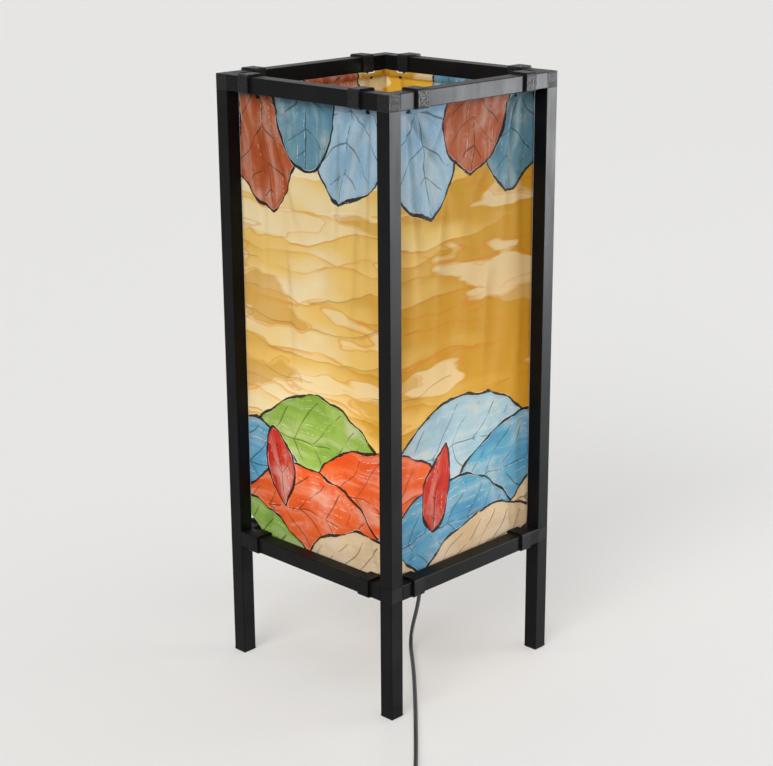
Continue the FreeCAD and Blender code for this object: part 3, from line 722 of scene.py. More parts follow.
@dataclass(frozen=True)
class LeafPaint:
    """How the leaves are painted: a blotted wash, chalk strokes, veins and an ink outline."""

    ink: Colour = (0.012, 0.010, 0.010)
    chalk: Colour = (0.86, 0.84, 0.80)
    ink_widths: Band = (0.00072, 0.0024)
    jitter: Band = (-0.0007, 0.0007)
    hand: PaintNoise = PaintNoise(85.0, 85.0)
    wobble: PaintNoise = PaintNoise(40.0, 40.0, 2.2)
    wobble_band: Band = (0.32, 0.68)
    dry_band: Band = (0.36, 0.44)
    bristles: PaintNoise = PaintNoise(240.0, 240.0, 4.4)
    wet_band: Band = (0.24, 0.34)
    blooms: PaintNoise = PaintNoise(17.0, 17.0, 0.0, 5.0, 0.60)
    sway: PaintNoise = PaintNoise(12.0, 12.0, 8.2, 1.0)
    misses: PaintNoise = PaintNoise(34.0, 34.0, 7.3)
    missed_band: Band = (0.46, 0.58)
    cover_band: Band = (-0.0002, 0.0002)
    streaks: Cloud = Cloud(1.0, 3.0, 0.55)
    streaks_scale: Point = (0.0, 9.0, 75.0)
    streaks_apart: float = 3.1
    pale_share: float = 0.5
    deep_share: float = 0.6
    bloom_pale: tuple[Band, float] = ((0.50, 0.72), 0.75)
    bloom_deep: tuple[Band, float] = ((0.50, 0.36), 0.60)
    streak_pale: tuple[Band, float] = ((0.50, 0.70), 0.42)
    streak_deep: tuple[Band, float] = ((0.48, 0.34), 0.40)
    rim_deep: tuple[Band, float] = ((-0.0065, -0.001), 0.45)
    strokes_per_metre: float = 95.0
    stroke_sway: float = 0.006
    stroke_band: Band = (0.02, 0.045)
    breaks: Cloud = Cloud(1.0, 1.0)
    dash_scale: Point = (0.0, 210.0, 90.0)
    dash_apart: float = 1.7
    dash_band: Band = (0.50, 0.56)
    few_scale: Point = (0.0, 16.0, 60.0)
    few_apart: float = 5.3
    few_band: Band = (0.53, 0.60)
    stroke_share: float = 0.8
    vein_steps: tuple[float, ...] = (0.040, 0.036, 0.034, 0.030)
    vein_slant: float = 0.85
    vein_sway: float = 0.05
    vein_lean_share: float = 0.76
    vein_ends: float = 0.01
    rib_end_band: Band = (-0.004, -0.001)
    branch_end_band: Band = (-0.011, -0.004)
    vein_width_share: float = 0.42
    vein_band: Band = (-0.0002, 0.00025)
    vein_share: float = 0.62
    outline_band: Band = (-0.00025, 0.00025)
    outline_share: float = 0.95
    beside_start: Band = (0.0, 0.0003)
    beside_end: Band = (0.0005, 0.0011)
    beside_share: float = 0.65

    def take_up(self, graph: Graph, place: Socket) -> Hand:
        """Takes up the brush.

        Args:
            graph: the material's node tree.
            place: the place on the flat cloth.

        Returns:
            The hand that paints every leaf.
        """
        wobble = self.wobble.on(graph, place)
        return Hand(
            blooms=self.blooms.on(graph, place),
            jitter=graph.span(self.hand.on(graph, place), NOISE_SPREAD, self.jitter),
            sway=self.sway.on(graph, place),
            width=graph.span(wobble, self.wobble_band, self.ink_widths),
            dry=graph.step(wobble, self.dry_band),
            wet=graph.step(self.bristles.on(graph, place), self.wet_band),
            missed=graph.step(self.misses.on(graph, place), self.missed_band),
        )

    def layer(self, graph: Graph, number: int, hand: Hand) -> Layer:
        """Reads one layer of leaves from the mesh.

        Args:
            graph: the material's node tree.
            number: the layer's number.
            hand: the painter's hand.

        Returns:
            The layer.
        """
        field = graph.stored(f"leaf_{number}", "Vector")
        apart = graph.node("ShaderNodeSeparateXYZ", {0: field})
        return Layer(
            number=number,
            field=field,
            tint=graph.stored(f"tint_{number}", "Color"),
            outside=graph.total(apart.outputs[0], hand.jitter),
            along=apart.outputs[1],
            side=graph.unsigned(apart.outputs[2]),
        )

    def wash(self, graph: Graph, layer: Layer, hand: Hand) -> Socket:
        """Paints the leaves' blotted and streaky wash.

        Args:
            graph: the material's node tree.
            layer: the layer of leaves.
            hand: the painter's hand.

        Returns:
            The paint's colour.
        """
        shift = (0.0, layer.number * self.streaks_apart, 0.0)
        streaks = graph.noise(graph.stretch(layer.field, self.streaks_scale, shift), self.streaks)
        pale = graph.blend(self.pale_share, layer.tint, shade(self.chalk))
        deep = graph.stain(self.deep_share, layer.tint, layer.tint)
        paint = layer.tint
        for source, (band, share), over in (
            (hand.blooms, self.bloom_pale, pale),
            (hand.blooms, self.bloom_deep, deep),
            (streaks, self.streak_pale, pale),
            (streaks, self.streak_deep, deep),
            (layer.outside, self.rim_deep, deep),
        ):
            paint = graph.blend(graph.product(graph.step(source, band), share), paint, over)
        return paint

    def dashed(self, graph: Graph, layer: Layer, scale: Point, apart: float, band: Band) -> Socket:
        """Breaks a layer's strokes up.

        Args:
            graph: the material's node tree.
            layer: the layer of leaves.
            scale: the breaks' scale across the field.
            apart: what sets the layers' breaks apart.
            band: where a break ends and a stroke is whole.

        Returns:
            1 where a stroke shows and 0 where it is broken.
        """
        shift = (layer.number * apart, 0.0, 0.0)
        return graph.step(graph.noise(graph.stretch(layer.field, scale, shift), self.breaks), band)

    def chalk_strokes(self, graph: Graph, layer: Layer, hand: Hand, paint: Socket) -> Socket:
        """Draws a few broken chalk strokes along the leaves.

        Args:
            graph: the material's node tree.
            layer: the layer of leaves.
            hand: the painter's hand.
            paint: the paint below the strokes.

        Returns:
            The paint with the strokes on it.
        """
        swayed = graph.total(layer.side, graph.product(hand.sway, self.stroke_sway))
        part = graph.math("FRACT", graph.product(swayed, self.strokes_per_metre))
        stroke = graph.line(graph.unsigned(graph.minus(part, 0.5)), self.stroke_band)
        dashes = self.dashed(graph, layer, self.dash_scale, self.dash_apart, self.dash_band)
        few = self.dashed(graph, layer, self.few_scale, self.few_apart, self.few_band)
        return graph.blend(graph.product(stroke, dashes, few, self.stroke_share), paint, shade(self.chalk))

    def veins(self, graph: Graph, layer: Layer, hand: Hand, paint: Socket) -> Socket:
        """Draws each leaf's rib and the slanting veins on both sides of it.

        Args:
            graph: the material's node tree.
            layer: the layer of leaves.
            hand: the painter's hand.
            paint: the paint below the veins.

        Returns:
            The paint with the veins on it.
        """
        step = self.vein_steps[layer.number]
        slant = graph.minus(layer.along, graph.product(layer.side, self.vein_slant))
        phase = graph.product(graph.total(slant, graph.product(hand.sway, self.vein_sway)), 1 / step)
        off = graph.unsigned(graph.minus(graph.math("FRACT", phase), 0.5))
        branch = graph.product(off, step * self.vein_lean_share)
        rib_end = graph.product(graph.step(layer.outside, self.rib_end_band), self.vein_ends)
        branch_end = graph.product(graph.step(layer.outside, self.branch_end_band), self.vein_ends)
        nearest = graph.math("MINIMUM", graph.total(layer.side, rib_end), graph.total(branch, branch_end))
        thin = graph.product(hand.width, self.vein_width_share)
        drawn = graph.line(graph.minus(nearest, thin), self.vein_band)
        return graph.blend(graph.product(drawn, hand.dry, self.vein_share), paint, shade(self.ink))

    def outline(self, graph: Graph, layer: Layer, hand: Hand, colour: Socket) -> Socket:
        """Draws the leaves' ink outline and the bare chalk that it misses beside it.

        Args:
            graph: the material's node tree.
            layer: the layer of leaves.
            hand: the painter's hand.
            colour: the colour below the outline.

        Returns:
            The colour with the outline on it.
        """
        off = graph.minus(graph.unsigned(layer.outside), hand.width)
        beside = graph.product(graph.step(off, self.beside_start), graph.line(off, self.beside_end))
        colour = graph.blend(graph.product(beside, hand.missed, self.beside_share), colour, shade(self.chalk))
        drawn = graph.product(graph.line(off, self.outline_band), hand.wet, self.outline_share)
        return graph.blend(drawn, colour, shade(self.ink))

    def paint(self, graph: Graph, below: Socket, hand: Hand) -> Socket:
        """Paints every layer of leaves.

        Args:
            graph: the material's node tree.
            below: the ground's colour.
            hand: the painter's hand.

        Returns:
            The colour with all the leaves on it.
        """
        for number in range(len(self.vein_steps)):
            layer = self.layer(graph, number, hand)
            paint = self.wash(graph, layer, hand)
            paint = self.chalk_strokes(graph, layer, hand, paint)
            paint = self.veins(graph, layer, hand, paint)
            below = graph.blend(graph.line(layer.outside, self.cover_band), below, paint)
            below = self.outline(graph, layer, hand, below)
        return below


@dataclass(frozen=True)
class PaintedCloth:
    """Thin woven cloth with a loose watercolour print, letting some light through."""

    name: str = "painted_sleeve_cloth"
    ground: OchreGround = OchreGround()
    leaves: LeafPaint = LeafPaint()
    speckle: PaintNoise = PaintNoise(520.0, 520.0, rough=0.7)
    speckle_band: Band = (0.5, 0.8)
    speckle_tint: Colour = (0.92, 0.89, 0.84)
    # Tint of the painted shade that darkens the cloth in its creases.
    crease_shade_tint: Colour = (0.52, 0.44, 0.34)
    stitch_heights: tuple[float, ...] = (0.7532, 0.1722)
    stitches_per_metre: float = 330.0
    stitch_band: Band = (0.25, 0.4)
    stitch_width_band: Band = (0.0003, 0.0005)
    stitch_share: float = 0.5
    threads_per_metre: float = 1700.0
    slub: PaintNoise = PaintNoise(40.0, 900.0)
    weave_strength: float = 0.25
    weave_height: float = 0.00012
    creases: PaintNoise = PaintNoise(46.0, 15.0, 3.3, 4.0, 0.55)
    crease_strength: float = 0.35
    crease_height: float = 0.002
    roughness: Band = (0.60, 0.72)
    specular: float = 0.12
    fuzz: float = 0.03
    through_share: float = 0.42

    def colour(self, graph: Graph, place: Socket, hand: Hand) -> Socket:
        """Colours the cloth.

        Args:
            graph: the material's node tree.
            place: the place on the flat cloth.
            hand: the painter's hand.

        Returns:
            The print's colour, with its speckle, a painted shade in its creases and the hems' stitches.
        """
        colour = self.leaves.paint(graph, self.ground.paint(graph, place), hand)
        speckled = graph.step(self.speckle.on(graph, place), self.speckle_band)
        colour = graph.stain(speckled, colour, shade(self.speckle_tint))
        # Painted shade: the cloth is darkened where its creases press in deepest.
        crease_shading = graph.step(graph.stored("painted_crease_shade", "Fac"), (0.0, 1.0))
        colour = graph.stain(crease_shading, colour, shade(self.crease_shade_tint))
        part = graph.math("FRACT", graph.product(graph.axis(place, 0), self.stitches_per_metre))
        dash = graph.step(part, self.stitch_band)
        for height in self.stitch_heights:
            off = graph.unsigned(graph.minus(graph.axis(place, 1), height))
            sewn = graph.product(graph.line(off, self.stitch_width_band), dash, self.stitch_share)
            colour = graph.blend(sewn, colour, shade(self.ground.pencil))
        return colour

    def relief(self, graph: Graph, place: Socket) -> Socket:
        """Raises the weave and the small creases.

        Args:
            graph: the material's node tree.
            place: the place on the flat cloth.

        Returns:
            The cloth's normal.
        """
        turn = math.tau * self.threads_per_metre / 2
        threads = graph.stretch(place, (turn, turn, 0.0))
        weave = graph.product(*(graph.math("SINE", graph.axis(threads, number)) for number in (0, 1)))
        height = graph.total(weave, self.slub.on(graph, place))
        fine = graph.bump(height, self.weave_strength, self.weave_height)
        return graph.bump(self.creases.on(graph, place), self.crease_strength, self.crease_height, fine)

    def make(self) -> bpy.types.Material:
        """Makes the finish.

        Returns:
            The finish as a material.
        """
        graph = Finish(self.name)
        place = graph.stored("flat_place", "Vector")
        hand = self.leaves.take_up(graph, place)
        colour = self.colour(graph, place, hand)
        normal = self.relief(graph, place)
        face = graph.principled(
            {
                "Base Color": colour,
                "Roughness": graph.span(hand.blooms, NOISE_SPREAD, self.roughness),
                "Specular IOR Level": self.specular,
                "Sheen Weight": self.fuzz,
                "Normal": normal,
            }
        )
        through = graph.node("ShaderNodeBsdfTranslucent", {"Color": colour, "Normal": normal}).outputs[0]
        both: Inputs = {0: self.through_share, 1: face, 2: through}
        return graph.surface(graph.node("ShaderNodeMixShader", both).outputs[0])


def dress(names: list[str], finish: bpy.types.Material) -> None:
    """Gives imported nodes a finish.

    Args:
        names: the nodes.
        finish: the material that they take.
    """
    for name in names:
        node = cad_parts[name]
        node.data.materials.clear()
        node.data.materials.append(finish)
    LOG.info("dressed %s with %s", ", ".join(names), finish.name)


def new_object(name: str, data: Any) -> bpy.types.Object:
    """Adds an object to the scene.

    Args:
        name: the object's name.
        data: its mesh, curve, camera or light.

    Returns:
        The object.
    """
    made = bpy.data.objects.new(name, data)
    bpy.context.scene.collection.objects.link(made)
    return made


@dataclass
class PhotoCamera:
    """The camera that sees the lamp as the photograph does, angles in degrees."""

    azimuth: float = 45.545
    distance: float = 2.1937
    height: float = 1.0561
    pitch: float = 17.148
    yaw: float = -0.071
    roll: float = -0.351
    lens: float = 81.79
    sensor: float = 36.0
    far: float = 100.0

    def make(self) -> None:
        """Stands the camera where it looks down at the lamp's front corner."""
        data = bpy.data.cameras.new("photo_camera")
        data.lens = self.lens
        data.sensor_width = self.sensor
        data.clip_end = self.far
        camera = new_object("photo_camera", data)
        stand = math.radians(self.azimuth)
        look = math.radians(self.azimuth + self.yaw)
        tilt = math.radians(self.pitch)
        lean = math.radians(self.roll)
        level = Vector((math.sin(look), math.cos(look), 0.0))
        right = Vector((math.cos(look), -math.sin(look), 0.0))
        ahead = level * math.cos(tilt) - Vector((0, 0, math.sin(tilt)))
        above = level * math.sin(tilt) + Vector((0, 0, math.cos(tilt)))
        across = right * math.cos(lean) + above * math.sin(lean)
        upward = above * math.cos(lean) - right * math.sin(lean)
        turn = Matrix((across, upward, -ahead)).transposed()
        place = Vector((-math.sin(stand) * self.distance, -math.cos(stand) * self.distance, self.height))
        camera.matrix_world = Matrix.Translation(place) @ turn.to_4x4()
        bpy.context.scene.camera = camera


@dataclass(frozen=True)
class Softbox:
    """A broad soft lamp so far off that it lights the whole floor alike."""

    name: str
    towards: Point
    spread_degrees: float
    strength: float
    colour: Colour

    def make(self) -> None:
        """Hangs the lamp."""
        data = bpy.data.lights.new(self.name, "SUN")
        data.energy = self.strength
        data.angle = math.radians(self.spread_degrees)
        data.color = self.colour
        lamp = new_object(self.name, data)
        lamp.rotation_mode = "QUATERNION"
        lamp.rotation_quaternion = Vector(self.towards).to_track_quat("Z", "Y")


@dataclass(frozen=True)
class StandingLamp:
    """A low soft panel on a stand, whose light slides up the frame's faces."""

    name: str
    place: Point
    power: float
    aim: Point = (0.0, 0.0, 0.42)
    size: tuple[float, float] = (1.3, 0.60)
    colour: Colour = (0.95, 0.975, 1.0)
    sheen_only: bool = False

    def make(self) -> None:
        """Stands the lamp."""
        data = bpy.data.lights.new(self.name, "AREA")
        data.shape = "RECTANGLE"
        data.size, data.size_y = self.size
        data.energy = self.power
        data.color = self.colour
        lamp = new_object(self.name, data)
        lamp.location = self.place
        lamp.rotation_mode = "QUATERNION"
        lamp.rotation_quaternion = (Vector(self.place) - Vector(self.aim)).to_track_quat("Z", "Y")
        lamp.visible_camera = False
        lamp.visible_diffuse = not self.sheen_only


@dataclass
class Studio:
    """A plain pale floor under soft lamps."""

    floor_half: float = 60.0
    backdrop: Colour = (0.83, 0.825, 0.815)
    floor_share: float = 0.58
    floor_grain: Cloud = Cloud(380.0, 2.0)
    grain_band: Band = (0.4, 0.7)
    dusty_share: float = 0.985
    floor_roughness: float = 0.9
    floor_specular: float = 0.05
    room_colour: Colour = (0.975, 0.99, 1.0)
    room_light: float = 0.30
    lamps: tuple[StandingLamp | Softbox, ...] = (
        StandingLamp("lamp_right", (2.92, -2.28, 0.32), 74.0),
        StandingLamp("sheen_right", (2.98, -2.33, 0.32), 150.0, sheen_only=True),
        Softbox("lamp_left", (-0.84, -0.22, 0.50), 40.0, 2.05, (1.0, 0.98, 0.95)),
        Softbox("lamp_above", (0.10, -0.16, 0.98), 60.0, 0.9, (1.0, 0.995, 0.985)),
    )

    def pale_surface(self) -> bpy.types.Material:
        """Makes the floor's finish, which holds the lamp's shadow and is as pale far off as near.

        Returns:
            The finish as a material.
        """
        graph = Finish("pale_floor")
        clean, dusty = (
            shade(tuple(c * self.floor_share * share for c in self.backdrop))
            for share in (1.0, self.dusty_share)
        )
        grain = graph.step(graph.noise(graph.place(), self.floor_grain), self.grain_band)
        inputs: Inputs = {"Roughness": self.floor_roughness, "Specular IOR Level": self.floor_specular}
        lit = graph.principled({"Base Color": graph.blend(grain, clean, dusty), **inputs})
        glow = graph.product(graph.seen(), 1 - self.floor_share)
        lift = graph.node("ShaderNodeEmission", {"Color": shade(self.backdrop), "Strength": glow})
        return graph.surface(graph.node("ShaderNodeAddShader", {0: lit, 1: lift.outputs[0]}).outputs[0])

    def floor(self) -> None:
        """Lays the floor."""
        half = self.floor_half
        mesh = bpy.data.meshes.new("floor")
        corners = [(-half, -half, 0.0), (half, -half, 0.0), (half, half, 0.0), (-half, half, 0.0)]
        mesh.from_pydata(corners, [], [(0, 1, 2, 3)])
        mesh.materials.append(self.pale_surface())
        new_object("floor", mesh)

    def room(self) -> None:
        """Sets the room's even light and its pale background."""
        world = bpy.data.worlds.new("pale_room")
        bpy.context.scene.world = world
        world.use_nodes = True
        graph = Graph(world.node_tree)
        seen, even = (
            graph.node("ShaderNodeBackground", {"Color": shade(colour), "Strength": strength}).outputs[0]
            for colour, strength in ((self.backdrop, 1.0), (self.room_colour, self.room_light))
        )
        both = graph.node("ShaderNodeMixShader", {0: graph.seen(), 1: even, 2: seen}).outputs[0]
        graph.node("ShaderNodeOutputWorld", {0: both})

    def make(self) -> None:
        """Builds the floor, the room and the lamps."""
        self.floor()
        self.room()
        for lamp in self.lamps:
            lamp.make()


@dataclass
class FreeCord:
    """The mains cord from the bar's bushing through the switch and the coil to the plug."""

    finish: SmoothPlastic = SmoothPlastic("cord_jacket", (0.016, 0.016, 0.017), 0.42)
    diameter: float = 0.0055
    round_steps: int = 5
    steps_per_point: int = 8
    coil_turns: float = 6.42
    coil_layers: int = 2
    coil_pitch: float = 0.0062
    coil_middle_radius: float = 0.032
    coil_climb_turns: float = 0.5
    coil_centre: Point = (-0.34689, -0.31572, 0.00355)
    coil_turned: float = -46.423
    points_per_turn: int = 16
    through_switch: float = 0.031
    lead: float = 0.027
    onto_coil: float = 0.011
    off_coil: float = 0.016
    plug_lead: float = 0.011
    into_plug: float = 0.006
    plug_cord_height: float = 0.0078
    route: tuple[Point, ...] = (
        (0.0600, 0.0000, 0.1300),
        (0.0600, 0.0000, 0.0970),
        (0.0560, -0.0035, 0.0660),
        (0.0460, -0.0070, 0.0440),
        (0.0355, -0.0095, 0.0260),
        (0.0250, -0.0155, 0.0105),
        (0.0120, -0.0280, 0.0031),
        (-0.0060, -0.0475, 0.0028),
        (-0.0352, -0.0782, 0.0028),
        (-0.0670, -0.1102, 0.0028),
        (-0.1070, -0.1496, 0.0028),
        (-0.1520, -0.1930, 0.0028),
        (-0.1935, -0.2326, 0.0028),
        (-0.2220, -0.2590, 0.0055),
        (-0.2480, -0.2826, 0.0055),
    )
    pieces: tuple[str, ...] = (
        "switch_lower", "switch_upper", "switch_rocker", "coil_tie", "plug_body", "plug_pins",
    )
    stands_for: tuple[str, ...] = (
        "cord_to_switch", "cord_switch_to_coil", "cord_coil", "cord_coil_to_plug",
    )

    def coil_place(self, turn: float) -> tuple[Vector, Vector]:
        """Follows the coil.

        Args:
            turn: how many turns from the coil's start.

        Returns:
            The middle line's point there and its level direction of travel.
        """
        past = turn - self.coil_turns / 2
        blend = self.coil_climb_turns / 2
        grown, climb = abs(past), float(past > 0)
        if abs(past) < blend:
            grown = past**2 / (2 * blend) + blend / 2
            climb = (1 - math.cos(math.pi * (past + blend) / (2 * blend))) / 2
        from_middle = grown - self.coil_turns / (2 * self.coil_layers)
        radius = self.coil_middle_radius + self.coil_pitch * from_middle
        angle = math.radians(self.coil_turned) - math.tau * turn
        outward = Vector((math.cos(angle), math.sin(angle), 0.0))
        along = Vector((math.sin(angle), -math.cos(angle), 0.0))
        place = Vector(self.coil_centre) + outward * radius + Vector((0, 0, self.coil_pitch * climb))
        return place, along

    def coil_points(self) -> list[Vector]:
        """Sets points round the coil, a little outside its turns.

        Returns:
            Control points whose spline runs through the coil's turns.
        """
        count = math.ceil(self.coil_turns * self.points_per_turn)
        # Over its control points' middle, a spline of order 3 lies this share of their radius out.
        pull = 0.75 + 0.25 * math.cos(math.tau / self.points_per_turn)
        centre = Vector(self.coil_centre)
        points = []
        for i in range(count + 1):
            arm = self.coil_place(self.coil_turns * i / count)[0] - centre
            points.append(centre + Vector((arm.x / pull, arm.y / pull, arm.z)))
        return points

    def line(self) -> list[Vector]:
        """Runs the cord from the bushing to the plug.

        Returns:
            The whole cord's control points.
        """
        points = [Vector(p) for p in self.route]
        heading = (points[-1] - points[-2]).normalized()
        start, _ = self.coil_place(0.0)
        inlet = start - heading * self.lead
        points.append(points[-1] + heading * self.through_switch)
        points.append(Vector((inlet.x, inlet.y, points[-1].z)))
        points.append(Vector((*(start - heading * self.onto_coil).xy, start.z)))
        points += self.coil_points()
        last, out = self.coil_place(self.coil_turns)
        points.append(last + out * self.off_coil)
        level = last + out * (self.lead + self.plug_lead)
        points.append(Vector((level.x, level.y, self.plug_cord_height)))
        points.append(points[-1] + out * self.into_plug)
        return points

    def curve(self, line: list[Vector]) -> bpy.types.Curve:
        """Draws the cord's round jacket along its line.

        Args:
            line: the control points.

        Returns:
            The curve.
        """
        data = bpy.data.curves.new("mains_cord", "CURVE")
        data.dimensions = "3D"
        data.bevel_depth = self.diameter / 2
        data.bevel_resolution = self.round_steps
        data.resolution_u = self.steps_per_point
        data.use_fill_caps = True
        spline = data.splines.new("NURBS")
        spline.points.add(len(line) - 1)
        for point, place in zip(spline.points, line):
            point.co = (*place, 1.0)
        spline.order_u = 3
        spline.use_endpoint_u = True
        spline.resolution_u = self.steps_per_point
        data.materials.append(self.finish.make())
        return data

    def make(self) -> None:
        """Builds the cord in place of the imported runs."""
        line = self.line()
        cord = new_object("mains_cord", self.curve(line))
        length = self.length(cord)
        LOG.info("cord of %.3f m in %d points", length, len(line))
        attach(cord, Body.LAMP.value)
        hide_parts(*self.stands_for)

    def length(self, cord: bpy.types.Object) -> float:
        """Measures the cord's own spline.

        Args:
            cord: the cord's curve.

        Returns:
            Its length in metres.
        """
        bare = cord.data.copy()
        bare.bevel_depth = 0.0
        thread = new_object("measured_thread", bare)
        bpy.context.view_layer.update()
        mesh = bpy.data.meshes.new_from_object(thread.evaluated_get(bpy.context.evaluated_depsgraph_get()))
        places = np.array([v.co for v in mesh.vertices])
        total = float(np.linalg.norm(np.diff(places, axis=0), axis=1).sum())
        bpy.data.objects.remove(thread)
        bpy.data.meshes.remove(mesh)
        bpy.data.curves.remove(bare)
        return total


SKY = (0.38, 0.60, 0.80)
SLATE = (0.15, 0.34, 0.47)
WATER = (0.12, 0.41, 0.68)
TERRACOTTA = (0.51, 0.13, 0.045)
VERMILION = (0.82, 0.15, 0.035)
MEADOW = (0.31, 0.52, 0.11)
OLIVE = (0.36, 0.40, 0.10)
CREAM = (0.81, 0.67, 0.47)
CRIMSON = (0.56, 0.035, 0.02)


@dataclass(frozen=True)
class Leaf:
    """One painted leaf from its stem to its tip, places in sides round and metres up."""

    stem: tuple[float, float]
    tip: tuple[float, float]
    half_width: float
    colour: Colour
    bow: float = 0.0


@dataclass(frozen=True)
class Waver:
    """A slow wave in the drawn lines, in whole waves round the sleeve and radians per metre up."""

    rounds: int
    per_metre: float
    height: float = 1.0
    shift: float = 0.0
    bend: float = 0.0
    bend_rounds: int = 0

    def at(self, turned: np.ndarray, up: np.ndarray) -> np.ndarray:
        """Follows the wave.

        Args:
            turned: angles round the sleeve.
            up: metres above the floor.

        Returns:
            How far the wave lies to one side at each place.
        """
        bent = self.bend * np.sin(turned * self.bend_rounds)
        return self.height * np.sin(up * self.per_metre + self.shift + bent + turned * self.rounds)


@dataclass
class SleevePrint:
    """A generic print of broad overlapping leaves at the top and bottom of an ochre ground."""

    side: float
    wobble: float = 0.0022
    unpainted: float = 1.0
    bow_end: float = 1.3
    across_waves: tuple[Waver, ...] = (Waver(0, 44.0, 1.0, 2.1, 2.0, 5), Waver(13, 97.0, 0.5))
    up_waves: tuple[Waver, ...] = (Waver(9, 31.0), Waver(23, -57.0, 0.6, 1.3))
    layers: tuple[tuple[Leaf, ...], ...] = (
        (
            Leaf((0.10, 0.830), (0.28, 0.622), 0.066, SKY, 0.006),
            Leaf((0.98, 0.830), (0.80, 0.640), 0.066, SLATE, -0.006),
            Leaf((1.46, 0.830), (1.36, 0.640), 0.062, SLATE),
            Leaf((2.46, 0.830), (2.50, 0.640), 0.064, TERRACOTTA, -0.006),
            Leaf((3.06, 0.830), (3.20, 0.618), 0.068, TERRACOTTA, 0.005),
            Leaf((3.80, 0.830), (3.66, 0.640), 0.068, SKY, 0.006),
            Leaf((-0.02, 0.306), (1.04, 0.322), 0.064, SKY, 0.012),
            Leaf((1.02, 0.320), (2.06, 0.304), 0.064, MEADOW, 0.008),
            Leaf((2.04, 0.306), (3.04, 0.318), 0.062, OLIVE, 0.008),
            Leaf((3.02, 0.318), (4.00, 0.302), 0.064, MEADOW, 0.014),
        ),
        (
            Leaf((0.60, 0.830), (0.56, 0.668), 0.058, TERRACOTTA, 0.004),
            Leaf((1.20, 0.830), (1.14, 0.690), 0.046, OLIVE),
            Leaf((2.80, 0.830), (2.84, 0.660), 0.054, SKY, -0.005),
            Leaf((3.48, 0.830), (3.44, 0.672), 0.054, SLATE, -0.005),
            Leaf((-0.62, 0.254), (0.46, 0.268), 0.066, VERMILION, 0.012),
            Leaf((0.44, 0.262), (1.52, 0.270), 0.066, WATER, 0.010),
            Leaf((1.50, 0.270), (2.48, 0.256), 0.064, VERMILION, 0.008),
            Leaf((2.46, 0.260), (3.40, 0.268), 0.066, WATER, 0.010),
        ),
        (
            Leaf((-0.10, 0.206), (0.90, 0.222), 0.060, WATER, 0.010),
            Leaf((0.88, 0.220), (1.92, 0.208), 0.060, CREAM, 0.008),
            Leaf((1.90, 0.212), (2.92, 0.218), 0.060, TERRACOTTA, 0.008),
            Leaf((2.90, 0.214), (3.92, 0.218), 0.062, VERMILION, 0.012),
        ),
        (
            Leaf((-0.62, 0.166), (0.22, 0.166), 0.050, CREAM, 0.008),
            Leaf((0.20, 0.164), (1.26, 0.172), 0.050, CREAM, 0.007),
            Leaf((1.24, 0.172), (2.30, 0.166), 0.050, OLIVE, 0.006),
            Leaf((2.28, 0.166), (3.40, 0.170), 0.052, MEADOW, 0.008),
            Leaf((0.30, 0.218), (0.38, 0.334), 0.025, CRIMSON, 0.004),
            Leaf((1.30, 0.224), (1.38, 0.340), 0.026, OLIVE, 0.004),
            Leaf((2.37, 0.218), (2.30, 0.332), 0.025, CRIMSON, -0.004),
            Leaf((3.26, 0.226), (3.16, 0.330), 0.025, CRIMSON, -0.004),
        ),
    )

    def measure(self, leaf: Leaf, x: np.ndarray, z: np.ndarray) -> tuple[np.ndarray, ...]:
        """Measures places against one leaf, whose outline is two arcs that meet at its stem and tip.

        Args:
            leaf: the leaf.
            x: metres round the sleeve.
            z: metres above the floor.

        Returns:
            How far outside the leaf each place is, and how far along and across it.
        """
        whole = len(Side) * self.side
        stem = np.array([leaf.stem[0] * self.side, leaf.stem[1]])
        tip = np.array([leaf.tip[0] * self.side, leaf.tip[1]])
        middle = (stem + tip) / 2
        half = float(np.linalg.norm(tip - stem)) / 2
        axis = (tip - stem) / (2 * half)
        dx = (x - middle[0] + whole / 2) % whole - whole / 2
        dy = z - middle[1]
        along = dx * axis[0] + dy * axis[1]
        across = dy * axis[0] - dx * axis[1]
        across = across - leaf.bow * (1 - np.clip(along / half, -self.bow_end, self.bow_end) ** 2)
        arc_centre = (half**2 - leaf.half_width**2) / (2 * leaf.half_width)
        far_along, far_across = np.abs(along), np.abs(across)
        near_tip = half * far_across < arc_centre * (far_along - half)
        to_tip = np.hypot(far_across, far_along - half)
        to_side = np.hypot(far_across + arc_centre, far_along) - (arc_centre + leaf.half_width)
        return np.where(near_tip, to_tip, to_side), along + half, across

    def paint(self, x: np.ndarray, z: np.ndarray) -> list[tuple[np.ndarray, np.ndarray]]:
        """Paints places on the cloth.

        Args:
            x: metres round the sleeve.
            z: metres above the floor.

        Returns:
            For each layer, the distance outside, along and across its nearest leaf, and that leaf's colour.
        """
        turned = x * math.tau / (len(Side) * self.side)
        drawn_x = x + self.wobble * sum(wave.at(turned, z) for wave in self.across_waves)
        drawn_z = z + self.wobble * sum(wave.at(turned, z) for wave in self.up_waves)
        painted = []
        for leaves in self.layers:
            nearest = np.full((len(x), 3), self.unpainted)
            tint = np.ones((len(x), 4))
            for leaf in leaves:
                measured = np.stack(self.measure(leaf, drawn_x, drawn_z), axis=1)
                closer = measured[:, 0] < nearest[:, 0]
                nearest[closer] = measured[closer]
                tint[closer, :3] = leaf.colour
            painted.append((nearest, tint))
        return painted


